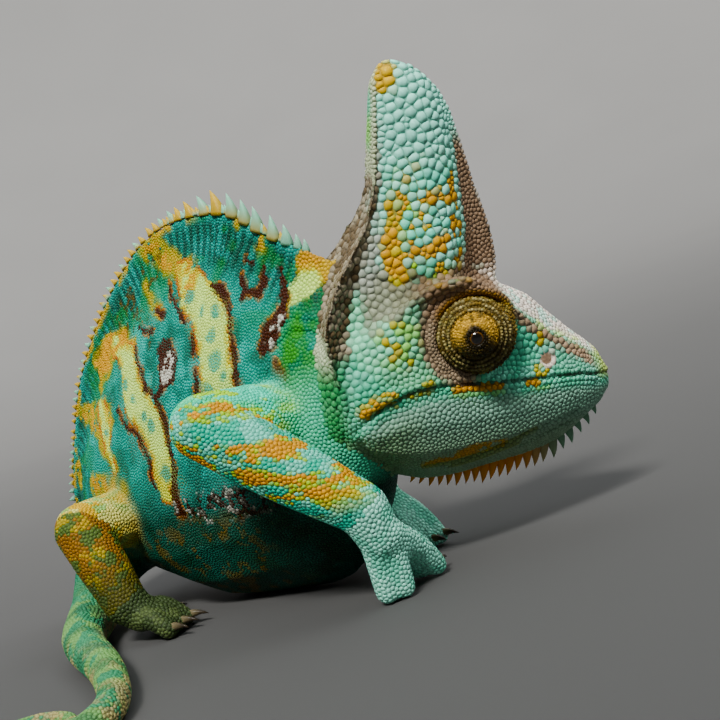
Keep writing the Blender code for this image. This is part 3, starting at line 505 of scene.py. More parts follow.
SCRAWLS = (
    ((3.6, 70.8, 0.6), (5.0, 67.8, 0.8), (4.2, 66.2, 0.7)),
    ((5.0, 67.4, 0.6), (8.9, 65.6, 0.7), (10.3, 67.5, 0.6), (10.8, 70.3, 0.4)),
    ((5.6, 74.5, 0.3), (7.6, 72.4, 0.4)), ((-34.2, 67.5, 0.4), (-28.0, 65.8, 0.5)),
    ((-26.2, 70.2, 0.4), (-22.8, 68.0, 0.6)), ((12.8, 51.8, 0.4), (14.4, 48.6, 0.4)),
    ((15.5, 69.0, 0.4), (15.7, 66.5, 0.8), (16.2, 63.1, 1.1), (15.2, 59.7, 1.2)),
)
BLOTCHES = (
    ((-22.4, 60.8, 2.6), (-21.2, 58.0, 3.4), (-21.8, 55.4, 2.6), (-24.0, 53.6, 1.0), (-26.6, 51.6, 0.7)),
    ((15.4, 60.2, 1.5), (12.2, 57.2, 2.4), (10.3, 55.0, 1.7)),
)
CREST_PATCHES = (
    ((-32.0, 87.5, 1.6), (-27.0, 84.5, 3.4), (-22.0, 80.5, 3.0), (-17.0, 77.8, 2.6)),
    ((5.2, 83.5, 2.2), (4.4, 87.0, 2.6)), ((-6.0, 90.0, 1.6), (-9.0, 90.0, 1.6)),
    ((-31.0, 77.0, 0.8), (-28.5, 72.5, 1.0), (-24.6, 68.6, 1.0)),
    ((-57.0, 63.5, 2.0), (-51.0, 65.6, 2.8), (-43.0, 66.0, 2.6), (-37.0, 64.5, 1.6)),
    ((-50.5, 61.5, 2.2), (-54.5, 58.5, 1.8)),
    ((-68.0, 52.0, 2.4), (-60.5, 52.0, 2.0), (-52.0, 51.6, 2.4), (-48.5, 48.6, 1.8)),
    ((-61.5, 50.0, 1.6), (-56.0, 47.0, 2.2)), ((-55.5, 45.0, 1.4), (-51.0, 42.6, 1.6), (-47.5, 38.6, 1.3)),
    ((-62.0, 35.0, 3.0), (-54.0, 34.4, 2.6), (-46.0, 33.4, 1.6)), ((-78.0, 39.5, 1.8), (-77.0, 35.0, 1.6)),
    ((11.0, 79.0, 0.6), (10.0, 75.0, 1.2)),
)
WHITE_FLECKS = (
    ((-21.2, 58.6, 1.8), (-21.6, 56.4, 2.2), (-22.8, 54.6, 1.0)),
    ((15.6, 59.4, 1.0), (13.0, 57.3, 1.6), (10.9, 55.4, 1.2)),
)
BAND_SPOTS = (
    (-13.4, 70.6, 1.5), (-5.1, 65.3, 1.6), (-6.4, 60.5, 1.6), (-5.3, 55.2, 1.9), (-2.9, 52.2, 1.1),
    (-8.0, 50.0, 1.5), (-9.4, 66.6, 0.9), (-39.9, 56.4, 1.5), (-30.0, 45.3, 1.5), (-32.0, 48.0, 1.1),
    (-27.8, 34.6, 1.7), (-36.0, 52.0, 1.1), (-51.0, 46.5, 1.1),
)


def noise(points, size, seed=0):
    """Soft random values from 0 to 1 in space, in lumps of about that size."""
    q = points / size + seed * 17.13
    cell = np.floor(q).astype(np.int64)
    f = q - cell
    f = f * f * (3 - 2 * f)
    total = np.zeros(len(points))
    for corner in np.ndindex(2, 2, 2):
        c = cell + corner
        mixed = (c[:, 0] * 73856093) ^ (c[:, 1] * 19349663) ^ (c[:, 2] * 83492791) ^ (seed * 2654435)
        mixed = (mixed ^ (mixed >> 13)) * 1274126177
        value = ((mixed ^ (mixed >> 16)) & 0xFFFF) / 65535
        total += value * np.prod(np.where(np.array(corner) == 1, f, 1 - f), axis=1)
    return total


def rough(points, size, seed):
    """Noise with a finer layer over it, from 0 to 1."""
    return 0.62 * noise(points, size, seed) + 0.38 * noise(points, size * 0.36, seed + 100)


def patchy(points, size, seed, low, high):
    """Ragged patches of about that size, from 0 outside them to 1 inside."""
    return soft(rough(points, size, seed), low, high)


def strokes(a, z, lines):
    """How far points lie outside the nearest of several strokes."""
    return np.min([stroke(a, z, line) for line in lines], axis=0)


def oval(a, z, middle, radii):
    """How far points lie from the middle of an oval, which ends at 1."""
    return np.hypot((a - middle[0]) / radii[0], (z - middle[1]) / radii[1])


def mix(colour, other, share):
    """Brings one colour towards another, each of them one for all points or one for each."""
    return colour + (other - colour) * share[:, None]


def paint(base, layers):
    """Lays colours over a base, each given with its share at every point."""
    for colour, share in layers:
        base = mix(base, colour, share)
    return base


def near_tail(points):
    """Where the trunk's colours run into the tail's."""
    return soft(np.linalg.norm(points - TAIL_ROOT, axis=1), 26, 8) * 0.9


def torso_colour(points):
    a = points[:, :2] @ FLANK_AHEAD + 2.2 * (rough(points, 3.6, 3) - 0.5)
    z = points[:, 2] + 2.2 * (rough(points, 3.6, 4) - 0.5)
    nearest, reach = near_crest(points)
    along = crest_along[nearest]
    fan = soft(np.sin(along * 2.4 + 2.4 * noise(points, 6.0, 6)), -0.3, 0.6)
    shoulder = soft(oval(a, z, (20.5, 51), (7.5, 10.5)), 1.2, 0.6)
    colour = paint(TURQUOISE, (
        (DEEP_TEAL, patchy(points, 7.0, 5, 0.42, 0.72) * 0.75),
        (BRIGHT_TEAL, patchy(points, 5.0, 15, 0.52, 0.7) * 0.7),
        (SHADE_TEAL, soft(reach, 18, 8) * (0.3 + 0.5 * fan)),
        (BRIGHT_TEAL * 0.9, soft(reach, 4, 1) * 0.6),
        (GREEN * 0.8, patchy(points, 6.0, 16, 0.5, 0.68) * soft(reach, 26, 12) * 0.5),
        # Painted shade: the lower trunk darkens towards the bottom, under the belly.
        (mix(SHADE_TEAL, rgb(30, 38, 14), soft(z, 30, 18)), soft(z, 38, 22) * 0.85),
        (GREEN, shoulder * patchy(points, 3.2, 19, 0.25, 0.6) * 0.95),
    ))

    # Olive and orange patches and a brown net by the crest, and the shoulder's green and gold.
    olive = strokes(a, z, CREST_PATCHES)
    upper_rear = soft(a, -22, -26) * soft(z, 60, 64) * soft(reach, 3, 6)
    upper_net = upper_rear * soft(np.abs(rough(points, 5.0, 47) - 0.5), 0.08, 0.02)
    gold = mix(rgb(206, 176, 0), ORANGE * 0.9, patchy(points, 2.0, 62, 0.45, 0.6))
    nape_streak = stroke(a, z, ((23.5, 65.3, 1.8), (19.0, 63.6, 2.0), (16.8, 62.0, 0.8)))
    colour = paint(colour, (
        (rgb(188, 170, 24), soft(olive, 1.4, -0.8) * patchy(points, 2.2, 45, 0.3, 0.55) * 0.9),
        (ORANGE, soft(olive, 0.6, -1.6) * patchy(points, 1.8, 46, 0.42, 0.6) * 0.9),
        (rgb(84, 62, 14), upper_net * patchy(points, 2.0, 58, 0.4, 0.6) * 0.8),
        (mix(AQUA, GREEN, soft(z, 40, 50) * 0.6), soft(oval(a, z, (21, 36), (9, 14)), 1.15, 0.8) * 0.9),
        (gold, soft(oval(a, z, (25.4, 68.2), (5.6, 4.4)), 1.15, 0.85)),
        (PALE_YELLOW, soft(nape_streak, 0.8, -0.2) * 0.95),
    ))

    # The pale bands with orange tops, rusty edges and spots.
    bands = strokes(a, z, (BAND_FRONT, BAND_MIDDLE, BAND_REAR))
    in_band = soft(bands, -2.2, -0.4) * patchy(points, 2.0, 48, 0.4, 0.62) * 0.8
    rear_top = stroke(a, z, ((-42.0, 66.5, 1.8), (-50.0, 65.8, 2.6), (-55.0, 61.0, 2.0)))
    tops = np.minimum(np.hypot(a + 14.2, z - 75.2) - 3.6, rear_top)
    spots = np.min([np.hypot(a - x, z - y) - r for x, y, r in BAND_SPOTS], axis=0)
    colour = paint(colour, (
        (RUST, soft(np.abs(bands - 0.1), 1.0, 0.2) * patchy(points, 3.0, 8, 0.38, 0.6) * 0.85),
        (mix(PALE_YELLOW, ORANGE, in_band), soft(bands, 0.2, -0.7)),
        (ORANGE, soft(tops, 1.6, -0.8) * patchy(points, 2.6, 9, 0.3, 0.55)),
        (rgb(222, 196, 70), soft(z, 42, 30) * soft(bands, 0.4, -0.6) * 0.5),
        (TURQUOISE, soft(spots, 0.5, -0.5) * soft(bands, 0.5, -1) * 0.85),
    ))

    # Dark edges, scrawls and blotches with white flecks, the net on the belly and the ridge.
    dark = strokes(a, z, (*BAND_EDGES, *SCRAWLS, *BLOTCHES))
    flecks = strokes(a, z, WHITE_FLECKS)
    belly = stroke(a, z, ((-27.0, 26.5, 1.8), (-16.0, 25.0, 3.0), (-6.0, 25.2, 3.2), (8.0, 26.0, 2.4)))
    belly_net = soft(belly, 1.6, -0.6)
    lines = soft(np.abs(rough(points, 3.0, 11) - 0.5), 0.1, 0.05)
    ridge = soft(reach, 3.4, 1.6) * patchy(points, 5.0, 14, 0.5, 0.62)
    return paint(colour, (
        (RUST, soft(dark, 1.1, 0.3) * patchy(points, 2.4, 18, 0.4, 0.6) * 0.7),
        (BROWN, soft(dark, 0.5, -0.15)),
        (CHALK, soft(flecks, 0.4, -0.2) * soft(noise(points, 1.2, 10), 0.46, 0.56) * 0.85),
        (BROWN * 0.5, belly_net * lines),
        (CHALK * 0.5, belly_net * soft(noise(points, 1.2, 12), 0.64, 0.72) * (1 - 0.8 * lines)),
        (rgb(120, 84, 20), soft(z, 27, 19) * patchy(points, 2.4, 63, 0.54, 0.64) * soft(a, 2, -12) * 0.38),
        (ROOT_GREEN, near_tail(points)),
        (ORANGE * 1.05, ridge * soft(along, 40, 50) * 0.8),
    ))


# The head's parts, and small gold marks on it: (x, height, radius).
HEAD_PARTS = [FLESH.index(name) for name in ("head", "casque", "lower_jaw")]
GOLD_MARKS = ((14.0, 12.4, 1.3), (13.6, 6.6, 1.5), (-10.6, 9.1, 0.9))

# The head's own edges, as the solids have them: the brow, the bulge of the casque and its back rim.
# The brow's rows are (x, height); the others are (height, x), and the last (height, half width).
RIDGE_LINE = np.array([
    (-31.0, 16.0), (-16.0, 23.0), (-9.0, 27.2), (-3.0, 28.2), (1.5, 27.0), (6.0, 23.9), (11.0, 18.8),
    (14.5, 15.6), (19.0, 12.2), (24.0, 8.8), (28.0, 6.0), (31.0, 2.0),
])
CREST_FRONT = np.array([
    (8.0, 2.0), (18.0, 7.0), (23.0, 8.4), (28.7, 8.6), (34.0, 8.2), (38.9, 7.0), (42.6, 5.7), (47.0, 4.9),
    (52.6, 3.4), (58.7, 2.0), (63.0, 0.2), (66.6, -2.6), (69.0, -5.4), (70.4, -8.8),
])
BULGE_FRONT = np.array([
    (8.0, -3.0), (22.0, -1.0), (31.3, 0.4), (36.7, 0.9), (48.0, 0.6), (55.0, 0.2), (63.0, -1.6),
    (66.6, -4.0), (69.0, -6.8), (70.4, -9.2),
])
BULGE_BACK = np.array([
    (8.0, -24.0), (20.0, -20.5), (31.3, -16.9), (39.4, -15.1), (53.7, -13.2), (64.3, -11.8), (68.0, -11.6),
    (70.4, -10.8),
])
RIM_BACK = np.array([
    (8.0, -28.0), (15.7, -29.6), (21.0, -30.2), (25.0, -29.2), (31.5, -25.8), (36.0, -22.2), (40.0, -19.4),
    (44.4, -17.3), (48.8, -15.9), (56.6, -14.6), (62.5, -13.8), (67.0, -13.4), (70.4, -11.8),
])
RIM_HALF = np.array([
    (8.0, 12.4), (16.0, 13.4), (25.0, 12.6), (31.0, 10.8), (36.0, 9.0), (40.0, 7.7), (44.0, 6.8),
    (49.0, 5.9), (57.0, 4.3), (62.0, 3.3), (67.0, 2.2), (70.4, 0.7),
])


def on_bulge(x, z):
    """How far a place is on the smooth bulge of the casque, from 0 to 1."""
    along = soft(x - read(BULGE_BACK, z), -0.4, 1.0) * soft(read(BULGE_FRONT, z) - x, -0.6, 0.6)
    return along * soft(z, 27, 31)


def head_colour(points, grain):
    local = in_head(points)
    x, y, z = local[:, 0], np.abs(local[:, 1]), local[:, 2]
    wobble = 1.6 * (rough(local, 2.6, 20) - 0.5)
    lip = z - read(LIP_LINE, x)

    # Aqua head, greyer jaw, green nape and the bright sprinkled patch behind the cheek.
    nape = soft(x, -24, -29) * soft(z, 20, 12)
    cheek_patch = soft(oval(x, z, (-18, 20), (7.4, 8.4)) + 0.12 * wobble, 1.15, 0.75)
    sprinkled = soft(oval(x, z, (-15.5, 17.5), (5.0, 5.5)), 1.2, 0.6)
    colour = paint(AQUA, (
        (MINT, soft(z, 24, 32)),
        (MINT, patchy(local, 4.0, 26, 0.45, 0.65) * 0.5),
        (JAW_AQUA, soft(lip + wobble, -1.0, -4.0) * 0.92),
        (JAW_GREEN, soft(lip, -5, -16) * 0.75),
        (rgb(120, 138, 100), soft(x + wobble, -9, -19) * soft(lip, -2.5, -8) * 0.55),
        (GREEN * 0.75, nape * 0.8),
        (rgb(122, 152, 130), soft(x, 13, 21) * soft(np.abs(lip - 2.5), 4.5, 2.0) * 0.45),
        (rgb(172, 216, 172), soft(oval(x, z, (-11.5, 12.0), (9.5, 4.6)), 1.2, 0.6) * 0.5),
        (rgb(180, 254, 216), cheek_patch * 0.95),
        (YELLOW_GREEN, sprinkled * patchy(local, 2.6, 21, 0.45, 0.6) * 0.6),
        (ORANGE, sprinkled * patchy(local, 1.8, 27, 0.58, 0.64) * 0.75),
    ))

    # Beige top of the snout, brown brow, gold round the eye and a taupe temple.
    ridge = z + 0.5 * wobble - read(RIDGE_LINE, x)
    from_eye = np.hypot(x - EYE_AT[0], z - EYE_AT[2])
    turn = np.arctan2(z - EYE_AT[2], x - EYE_AT[0])
    outside = y > 5
    snout_top = soft(ridge, -0.8, 0.4) * soft(x, -4, 3) * soft(z, 33, 29)
    ridge_edge = soft(np.abs(ridge + 0.2), 1.6, 0.6) * soft(x, 11, 15)
    canthal = soft(ridge, -3.6, -2.6) * soft(ridge, -0.3, -1.1) * soft(x, 5, 8) * soft(x, 27.5, 25)
    behind_eye = soft(np.cos(turn - math.radians(195)), 0.1, 0.45) * soft(from_eye + 0.7 * wobble, 11.6, 10.4)
    over_eye = soft(ridge, -7.5, -4.5) * soft(ridge, 2.4, 1.2) * soft(x, -13, -9) * soft(x, 9.5, 6.5)
    temple = soft(ridge + wobble, -2.0, 0.2) * soft(z, 34, 30) * soft(x, -5, -8) * soft(x, -23, -20)
    temple_tone = mix(rgb(122, 104, 84), rgb(150, 144, 128), soft(x + 2 * wobble, -11, -17))
    gold_marks = np.min([np.hypot(x - u, (z - v) * 1.2) - r for u, v, r in GOLD_MARKS], axis=0)
    colour = paint(colour, (
        (mix(BEIGE, MINT, patchy(local, 2.0, 28, 0.5, 0.66) * 0.6), snout_top),
        (PALE_YELLOW, ridge_edge * patchy(local, 2.4, 29, 0.3, 0.6) * 0.7),
        (rgb(168, 142, 122), canthal * 0.95),
        (rgb(158, 142, 122), behind_eye * outside),
        (BLADE_BROWN, over_eye * soft(z, 31.5, 30)),
        (GOLD_BROWN, soft(from_eye, 9.8, 8.2) * soft(np.sin(turn), 0.3, 0.7) * outside),
        (rgb(190, 162, 84), soft(from_eye, 9.6, 8.4) * soft(np.cos(turn - 0.1), 0.72, 0.9) * outside * 0.7),
        (temple_tone, temple * 0.9),
        (rgb(206, 222, 142), soft(x, 25.5, 29) * soft(lip, -2, 0.5) * 0.85),
        (rgb(206, 180, 40), soft(gold_marks, 0.7, -0.3) * patchy(local, 1.6, 31, 0.25, 0.5) * 0.9),
    ))

    # The casque: orange among the small scales of its low bulge, brown blade, grey rim with a dark band.
    low = on_bulge(x, z) * soft(z + wobble, 53, 46) * soft(x, -16.5, -14)
    marks = np.maximum(patchy(local, 4.4, 22, 0.44, 0.54) * grain, patchy(local, 3.4, 24, 0.585, 0.6))
    gold_line = stroke(x, z, ((-12.6, 44.0, 0.8), (-13.4, 38.0, 1.6), (-14.0, 33.0, 1.9), (-13.4, 29.6, 1.2)))
    gold_edge = soft(gold_line, 1.0, -0.6)
    apex = soft(np.hypot(x + 12.0, z - 67.5) + wobble, 3.8, 2.6)
    blade = soft(x - read(BULGE_FRONT, z) + 0.3 * wobble, 0.4, 1.2)
    blade = blade * soft(z, 25, 29) * soft(z + wobble, 58, 52)
    edge = soft(read(CREST_FRONT, z) - x, 0.9, 0.2) * soft(z, 26, 30)
    behind = read(BULGE_BACK, z) - x
    rim = x - read(RIM_BACK, z)
    strip = soft(behind, 0.0, 0.8) * soft(z + wobble, 25, 30) * soft(z, 62, 56)
    band = soft(behind - 0.40 * (behind + rim) + 0.5 * wobble, -0.3, 0.5) * soft(z, 13, 17) * soft(z, 60, 54)
    band_tone = mix(rgb(100, 88, 70), rgb(158, 150, 132), patchy(local, 1.6, 57, 0.4, 0.6))
    back_face = soft(rim, 0.0, -0.6) * soft(z, 44, 50)
    colour = paint(colour, (
        (YELLOW_GREEN, low * patchy(local, 3.0, 23, 0.42, 0.6) * (0.1 + 0.8 * grain)),
        (ORANGE, low * marks),
        (rgb(112, 226, 196), low * patchy(local, 3.4, 24, 0.5, 0.4) * (1 - grain) * 0.55),
        (rgb(204, 186, 30), gold_edge * patchy(local, 2.0, 59, 0.3, 0.5) * 0.9),
        (ORANGE, gold_edge * patchy(local, 1.8, 60, 0.46, 0.56)),
        (rgb(214, 176, 30), apex * 0.95),
        (BLADE_BROWN, blade),
        (CHALK * 0.8, edge * 0.75),
        (rgb(186, 192, 180), strip * (0.55 + 0.4 * patchy(local, 2.0, 56, 0.3, 0.6))),
        (band_tone, band * soft(behind, 0, 1)),
        (rgb(206, 216, 186), soft(rim, 0.75, 0.35) * soft(z, 10, 16) * 0.9),
        (mix(AQUA * 0.8, YELLOW_GREEN, soft(z, 52, 56) * soft(z, 62, 58) * 0.5), back_face),
    ))

    # The lips' orange row, the gold of the mouth's corner and the jaw's fold, the nostril with painted
    # shade in its pit, and a thin painted shadow along the line of the mouth.
    row = soft(lip, -1.65, -1.45) * soft(lip, -0.1, -0.3)
    on_row = np.maximum(soft(x, -6.2, -5.6) * soft(x, 5.4, 4.8), soft(np.abs(x - 11.4), 1.7, 1.2))
    second = soft(lip, -2.7, -2.5) * soft(lip, -1.5, -1.7)
    on_second = soft(x, -7, -5) * soft(x, 6, 4) + soft(np.abs(x - 13.5), 2.4, 1.6)
    pad = soft(stroke(x, z, ((-18.0, 7.7, 0.9), (-21.5, 6.6, 1.5), (-23.8, 4.8, 1.3))), 0.5, -0.3)
    seam = soft(stroke(x, z, ((-9.0, 7.2, 0.3), (-14.0, 7.0, 0.4), (-18.0, 5.6, 0.4))), 0.6, 0.0)
    jaw_line = stroke(x, z, ((4.5, -8.0, 0.7), (-2.0, -7.8, 1.2), (-7.0, -8.8, 0.7), (-12.0, -9.6, 0.4)))
    jaw_gold = soft(jaw_line, 0.9, -0.2) * patchy(local, 2.4, 34, 0.2, 0.45)
    creases = strokes(x, z, [line for line, height, width in HEAD_FOLDS[5:7]])
    nostril = np.linalg.norm(np.stack([x, y, z], 1) - NOSTRIL_AT, axis=1)
    return paint(colour, (
        (rgb(204, 156, 48), row * on_row),
        (YELLOW_GREEN, second * on_second * 0.35),
        (ORANGE, pad * soft(y, 7, 9) * patchy(local, 1.8, 32, 0.2, 0.4)),
        (rgb(178, 150, 40), seam * patchy(local, 1.6, 33, 0.4, 0.6) * 0.8),
        (rgb(196, 146, 12), jaw_gold * soft(y, 3, 5) * 0.9),
        (rgb(120, 128, 40), soft(creases, 1.3, 0.2) * 0.5),
        (rgb(236, 218, 208), soft(nostril, 2.6, 2.1) * 0.9),
        # Painted shade in the nostril's pit.
        (rgb(70, 26, 10), soft(nostril, 1.3, 0.95)),
        # A thin painted shadow along the line of the mouth.
        (BROWN * 0.8, soft(np.abs(lip), 0.3, 0.12) * soft(x, -24, -22) * 0.7),
    ))


def mottled(points, base, mark, size, cover, seed):
    return mix(base, mark, patchy(points, size, seed, 0.97 - cover, 1.03 - cover))


def limb_colour(points, part):
    z = points[:, 2]
    if part.startswith("upper_arm"):
        streaks = points @ np.array([[0.6, 0, 0.25], [0, 0.9, 0], [0.35, 0, 1.0]])
        return paint(mottled(points, rgb(84, 228, 196), rgb(128, 248, 216), 4.0, 0.5, 30), (
            (rgb(150, 232, 140), patchy(points, 6.0, 35, 0.5, 0.66) * 0.4),
            (rgb(206, 232, 90), patchy(streaks, 2.0, 31, 0.6, 0.66) * 0.8),
        ))
    if part.startswith("forearm"):
        across = points @ np.array([[0.42, 0, 0.2], [0, 0.8, 0], [0.5, 0, 1.25]])
        drawn = rough(across, 2.3, 32)
        return paint(mottled(points, rgb(150, 230, 208), rgb(96, 200, 172), 3.0, 0.5, 36), (
            (rgb(60, 142, 120), patchy(across, 2.6, 61, 0.54, 0.66) * 0.55),
            (rgb(186, 212, 70), soft(drawn, 0.45, 0.52) * soft(z, 20, 26) * 0.85),
            (rgb(214, 158, 30), soft(drawn, 0.52, 0.58) * soft(z, 20, 27) * 0.95),
        ))
    if part.startswith("hand"):
        return mottled(points, rgb(184, 246, 226), rgb(150, 222, 198), 4.0, 0.4, 34)
    if part.startswith("thigh"):
        colour = mottled(points, rgb(224, 220, 150), rgb(214, 180, 92), 3.0, 0.5, 37)
        return mix(colour, rgb(140, 190, 130), patchy(points, 2.4, 38, 0.58, 0.66) * 0.8)
    if part.startswith("shin"):
        return paint(mottled(points, rgb(86, 104, 62), rgb(136, 102, 34), 3.0, 0.5, 39), (
            (rgb(190, 168, 76), patchy(points, 2.0, 42, 0.58, 0.66) * 0.7),
            (rgb(62, 72, 44), soft(z, 23, 13) * 0.85),
        ))
    return mottled(points, rgb(64, 76, 52), rgb(84, 96, 66), 3.0, 0.4, 43)


def tail_colour(points):
    z = points[:, 2]
    rings = soft(np.sin(points[:, 1] * 0.42 + 2.0 * noise(points, 6.0, 41)), 0.1, 0.8) * soft(z, 2.0, 5.0)
    return paint(mottled(points, TAIL_GREEN, rgb(86, 146, 112), 5.0, 0.45, 40), (
        (rgb(58, 104, 78), rings * 0.6),
        (TAIL_BEIGE, patchy(points, 3.0, 44, 0.5, 0.62) * soft(z, 9, 3) * 0.7),
        (ROOT_GREEN, near_tail(points)),
    ))


def body_colour(points, parts, grain=None):
    """The colour of each place of the skin, by the part that it belongs to."""
    colours = np.zeros((len(points), 3))
    grain = np.full(len(points), 0.5) if grain is None else grain
    for k, name in enumerate(FLESH):
        here = parts == k
        if not here.any():
            continue
        if k in HEAD_PARTS:
            colours[here] = head_colour(points[here], grain[here])
        elif name in ("torso", "neck"):
            colours[here] = torso_colour(points[here])
        elif name.startswith("tail"):
            colours[here] = tail_colour(points[here])
        else:
            colours[here] = limb_colour(points[here], name)
    grey = (colours @ LUMINANCE)[:, None]
    return np.clip(grey + LIVELY * (colours - grey), 0, 1)


def colour_points(thing, colours):
    """Stores a colour at each point, for the material to read."""
    layer = thing.data.color_attributes.new("tint", "FLOAT_COLOR", "POINT")
    values = np.ones((len(colours), 4), np.float32)
    values[:, :3] = colours
    layer.data.foreach_set("color", values.ravel())


# Between the scales the skin is darker: partly its own tone, partly painted shade in the grooves.
GROOVE_TONE_AND_SHADE = 0.55
skin_points = mesh_points(skin.data)
skin_parts = part_of(skin_points)
bare = np.linalg.norm(in_half_head(skin_points) - NOSTRIL_AT, axis=1) < 2.4
colour_points(skin, body_colour(skin_points, skin_parts) * np.where(bare, 1.0, GROOVE_TONE_AND_SHADE)[:, None])
skin_finish = Finish("skin_between_scales", roughness=0.6, Specular_IOR_Level=0.25)
skin_finish.feed("Base Color", skin_finish.tint())
skin_finish.bump(skin_finish.object_noise(2200.0), 0.00012)
finish_piece(skin, skin_finish.material, FLESH)

# Scales
# Thousands of small raised scales, each its own low dome set on the skin. They are scattered, pushed
# apart until they lie evenly, and each grows until it meets its neighbours. Rows of larger ones
# follow the lips and the casque's edges first, and the rest fill in round them.
# How wide the scales of each part but the head are, in millimetres.
PART_SCALE = {
    "neck": 0.9, "torso": 0.76, "tail_base": 1.0, "tail_mid": 0.95, "tail_tip": 0.9, "upper_arm": 0.86,
    "forearm": 0.96, "hand": 1.0, "thigh": 0.86, "shin": 0.94, "foot": 1.0,
}
PIECE_TRIANGLES = 190000

# Packing is the share of the skin that scales fill. Spacing is the gap that two of them are pushed
# to, crowding the gap within which one is dropped, both as shares of their two widths together.
PACKING = 0.87
SPACING = 0.60
CROWDING = 0.27
PUSH = 0.28
LONGEST_STEP = 0.45

# How far a scale may reach, as a share of its width, how much of the way its edge goes, how deep
# that edge sinks, and how high the scale rises for its width.
WIDEST = 0.74
EDGE = 0.97
SUNK = 0.07
STEEPNESS = 0.165


def scale_size(points, parts, grain):
    """How wide a scale is at each place, in millimetres. Grain is each scale's own share of chance."""
    sizes = np.ones(len(points))
    for name, size in PART_SCALE.items():
        for k, part in enumerate(FLESH):
            if part.startswith(name):
                sizes[parts == k] = size
    head = np.isin(parts, HEAD_PARTS)
    x, y, z = in_half_head(points[head]).T
    chance = grain[head]
    lip = z - read(LIP_LINE, x)
    size = 1.12 + 0.55 * soft(lip, 1.5, 8) - 0.25 * soft(lip, -9, -14)
    size = np.where((z > 26) & (x < read(BULGE_BACK, z) + 1), 1.55, size)
    size = np.where(x < read(RIM_BACK, z) + 4.2, np.where(z > 16, 1.6, size), size)
    size = np.where((x < read(RIM_BACK, z) + 0.9) & (z > 14), 0.95, size)
    plates = 2.1 + 0.4 * (chance - 0.5) + 0.15 * soft(z, 45, 55)
    plates = np.where(chance < 0.52 - 0.36 * soft(z, 46, 56), 1.1, plates)
    size = np.where(on_bulge(x, z) > 0.5, plates, size)
    size = np.where((x > read(BULGE_FRONT, z) + 0.8) & (z > 27), 1.0, size)
    ridge = z - read(RIDGE_LINE, x)
    size = np.where((ridge > -0.8) & (z < 29) & (x > 0), 1.15, size)
    from_eye = np.hypot(x - EYE_AT[0], z - EYE_AT[2])
    size = np.where((from_eye < 10) & (y > 6) & (z < 30), 0.7 + 0.25 * soft(from_eye, 8, 10), size)
    size *= 1 - 0.18 * soft(x, 18, 28)
    sizes[head] = size
    return sizes


def onto_form(points):
    """The nearest place of the soft skin to each point, with its normal and its face."""
    found = [form_tree.find_nearest(p)[:3] for p in points.tolist()]
    return [np.array(answers) for answers in zip(*found)]


def lip_row(step, low, high, lift):
    """Places along both sides of the mouth, that far above or below its line."""
    marks = np.arange(low, high, step)
    return from_head([(x, side * 14.0, read(LIP_LINE, x) + lift) for side in (-1, 1) for x in marks])


def casque_row(table, half, low, high, step):
    """Places along both sides of an edge of the casque, which is that far out from the middle."""
    marks = np.arange(low, high, step)
    return from_head([(read(table, z), side * read(half, z), z) for side in (-1, 1) for z in marks])


# The rows' places, and the width and height of their scales.
NEAR_MIDDLE = np.array([(8.0, 0.5), (70.4, 0.5)])
rows = (
    (lip_row(1.42, -20.0, 30.0, 0.92), 1.5, 0.30),
    (lip_row(1.30, -7.0, 30.0, -0.78), 1.3, 0.36),
    (lip_row(1.18, -7.6, 30.0, -1.95), 1.16, 0.28),
    (casque_row(RIM_BACK, RIM_HALF, 14.0, 66.0, 0.95), 0.95, 0.34),
    (casque_row(CREST_FRONT, NEAR_MIDDLE, 27.0, 69.0, 1.1), 1.1, 0.45),
)
corners = form_points[form_faces]
areas = 0.5 * np.linalg.norm(np.cross(corners[:, 2] - corners[:, 0], corners[:, 3] - corners[:, 1]), axis=1)
face_middles = corners.mean(1)
face_parts = part_of(face_middles)
chances = rng.uniform(0, 1, (3, len(face_middles)))
packed = np.mean([scale_size(face_middles, face_parts, chance) ** 2 for chance in chances], axis=0)
wanted = np.cumsum(areas / (PACKING * packed))
draws = np.arange(int(wanted[-1])) + rng.uniform(0, 1, int(wanted[-1]))
chosen = np.searchsorted(wanted, draws).clip(0, len(areas) - 1)
u, v = rng.uniform(0, 1, (2, len(chosen), 1))
a, b, c, d = corners[chosen].transpose(1, 0, 2)
loose = (a * (1 - u) + b * u) * (1 - v) + (d * (1 - u) + c * u) * v
fixed = np.concatenate([places for places, size, height in rows])
row_sizes = np.concatenate([np.full(len(places), size) for places, size, height in rows])
row_heights = np.concatenate([np.full(len(places), height) for places, size, height in rows])
sites, site_normals, site_faces = onto_form(np.concatenate([fixed, loose]))
site_parts = face_parts[site_faces]
site_grain = rng.uniform(0, 1, len(sites))
is_fixed = np.arange(len(sites)) < len(fixed)


def neighbours(points, count):
    """The indices of each point's nearest others."""
    tree = KDTree(len(points))
    listed = points.tolist()
    for k, p in enumerate(listed):
        tree.insert(p, k)
    tree.balance()
    return np.array([[n[1] for n in tree.find_n(p, count + 1)][1:] for p in listed])


ROUNDS = 9
for turn in range(ROUNDS):
    sizes = scale_size(sites, site_parts, site_grain)
    sizes[: len(row_sizes)] = row_sizes
    near = neighbours(sites, 7)
    away = sites[:, None] - sites[near]
    gap = np.linalg.norm(away, axis=2) + 1e-6
    facing = (site_normals[:, None] * site_normals[near]).sum(2) > 0.2
    goal = SPACING * (sizes[:, None] + sizes[near])
    push = np.clip(goal - gap, 0, None) * facing / gap * PUSH
    step = (away * push[:, :, None]).sum(1)
    step -= site_normals * (step * site_normals).sum(1)[:, None]
    length = np.linalg.norm(step, axis=1)[:, None]
    step *= np.minimum(1, LONGEST_STEP * sizes[:, None] / (length + 1e-6))
    step[is_fixed] = 0
    sites, site_normals, site_faces = onto_form(sites + step)
    site_parts = face_parts[site_faces]

sizes = scale_size(sites, site_parts, site_grain)
sizes[: len(row_sizes)] = row_sizes
heights = STEEPNESS * sizes - 0.04 * sizes * soft(sizes, 1.2, 1.8)
heights[: len(row_heights)] = row_heights

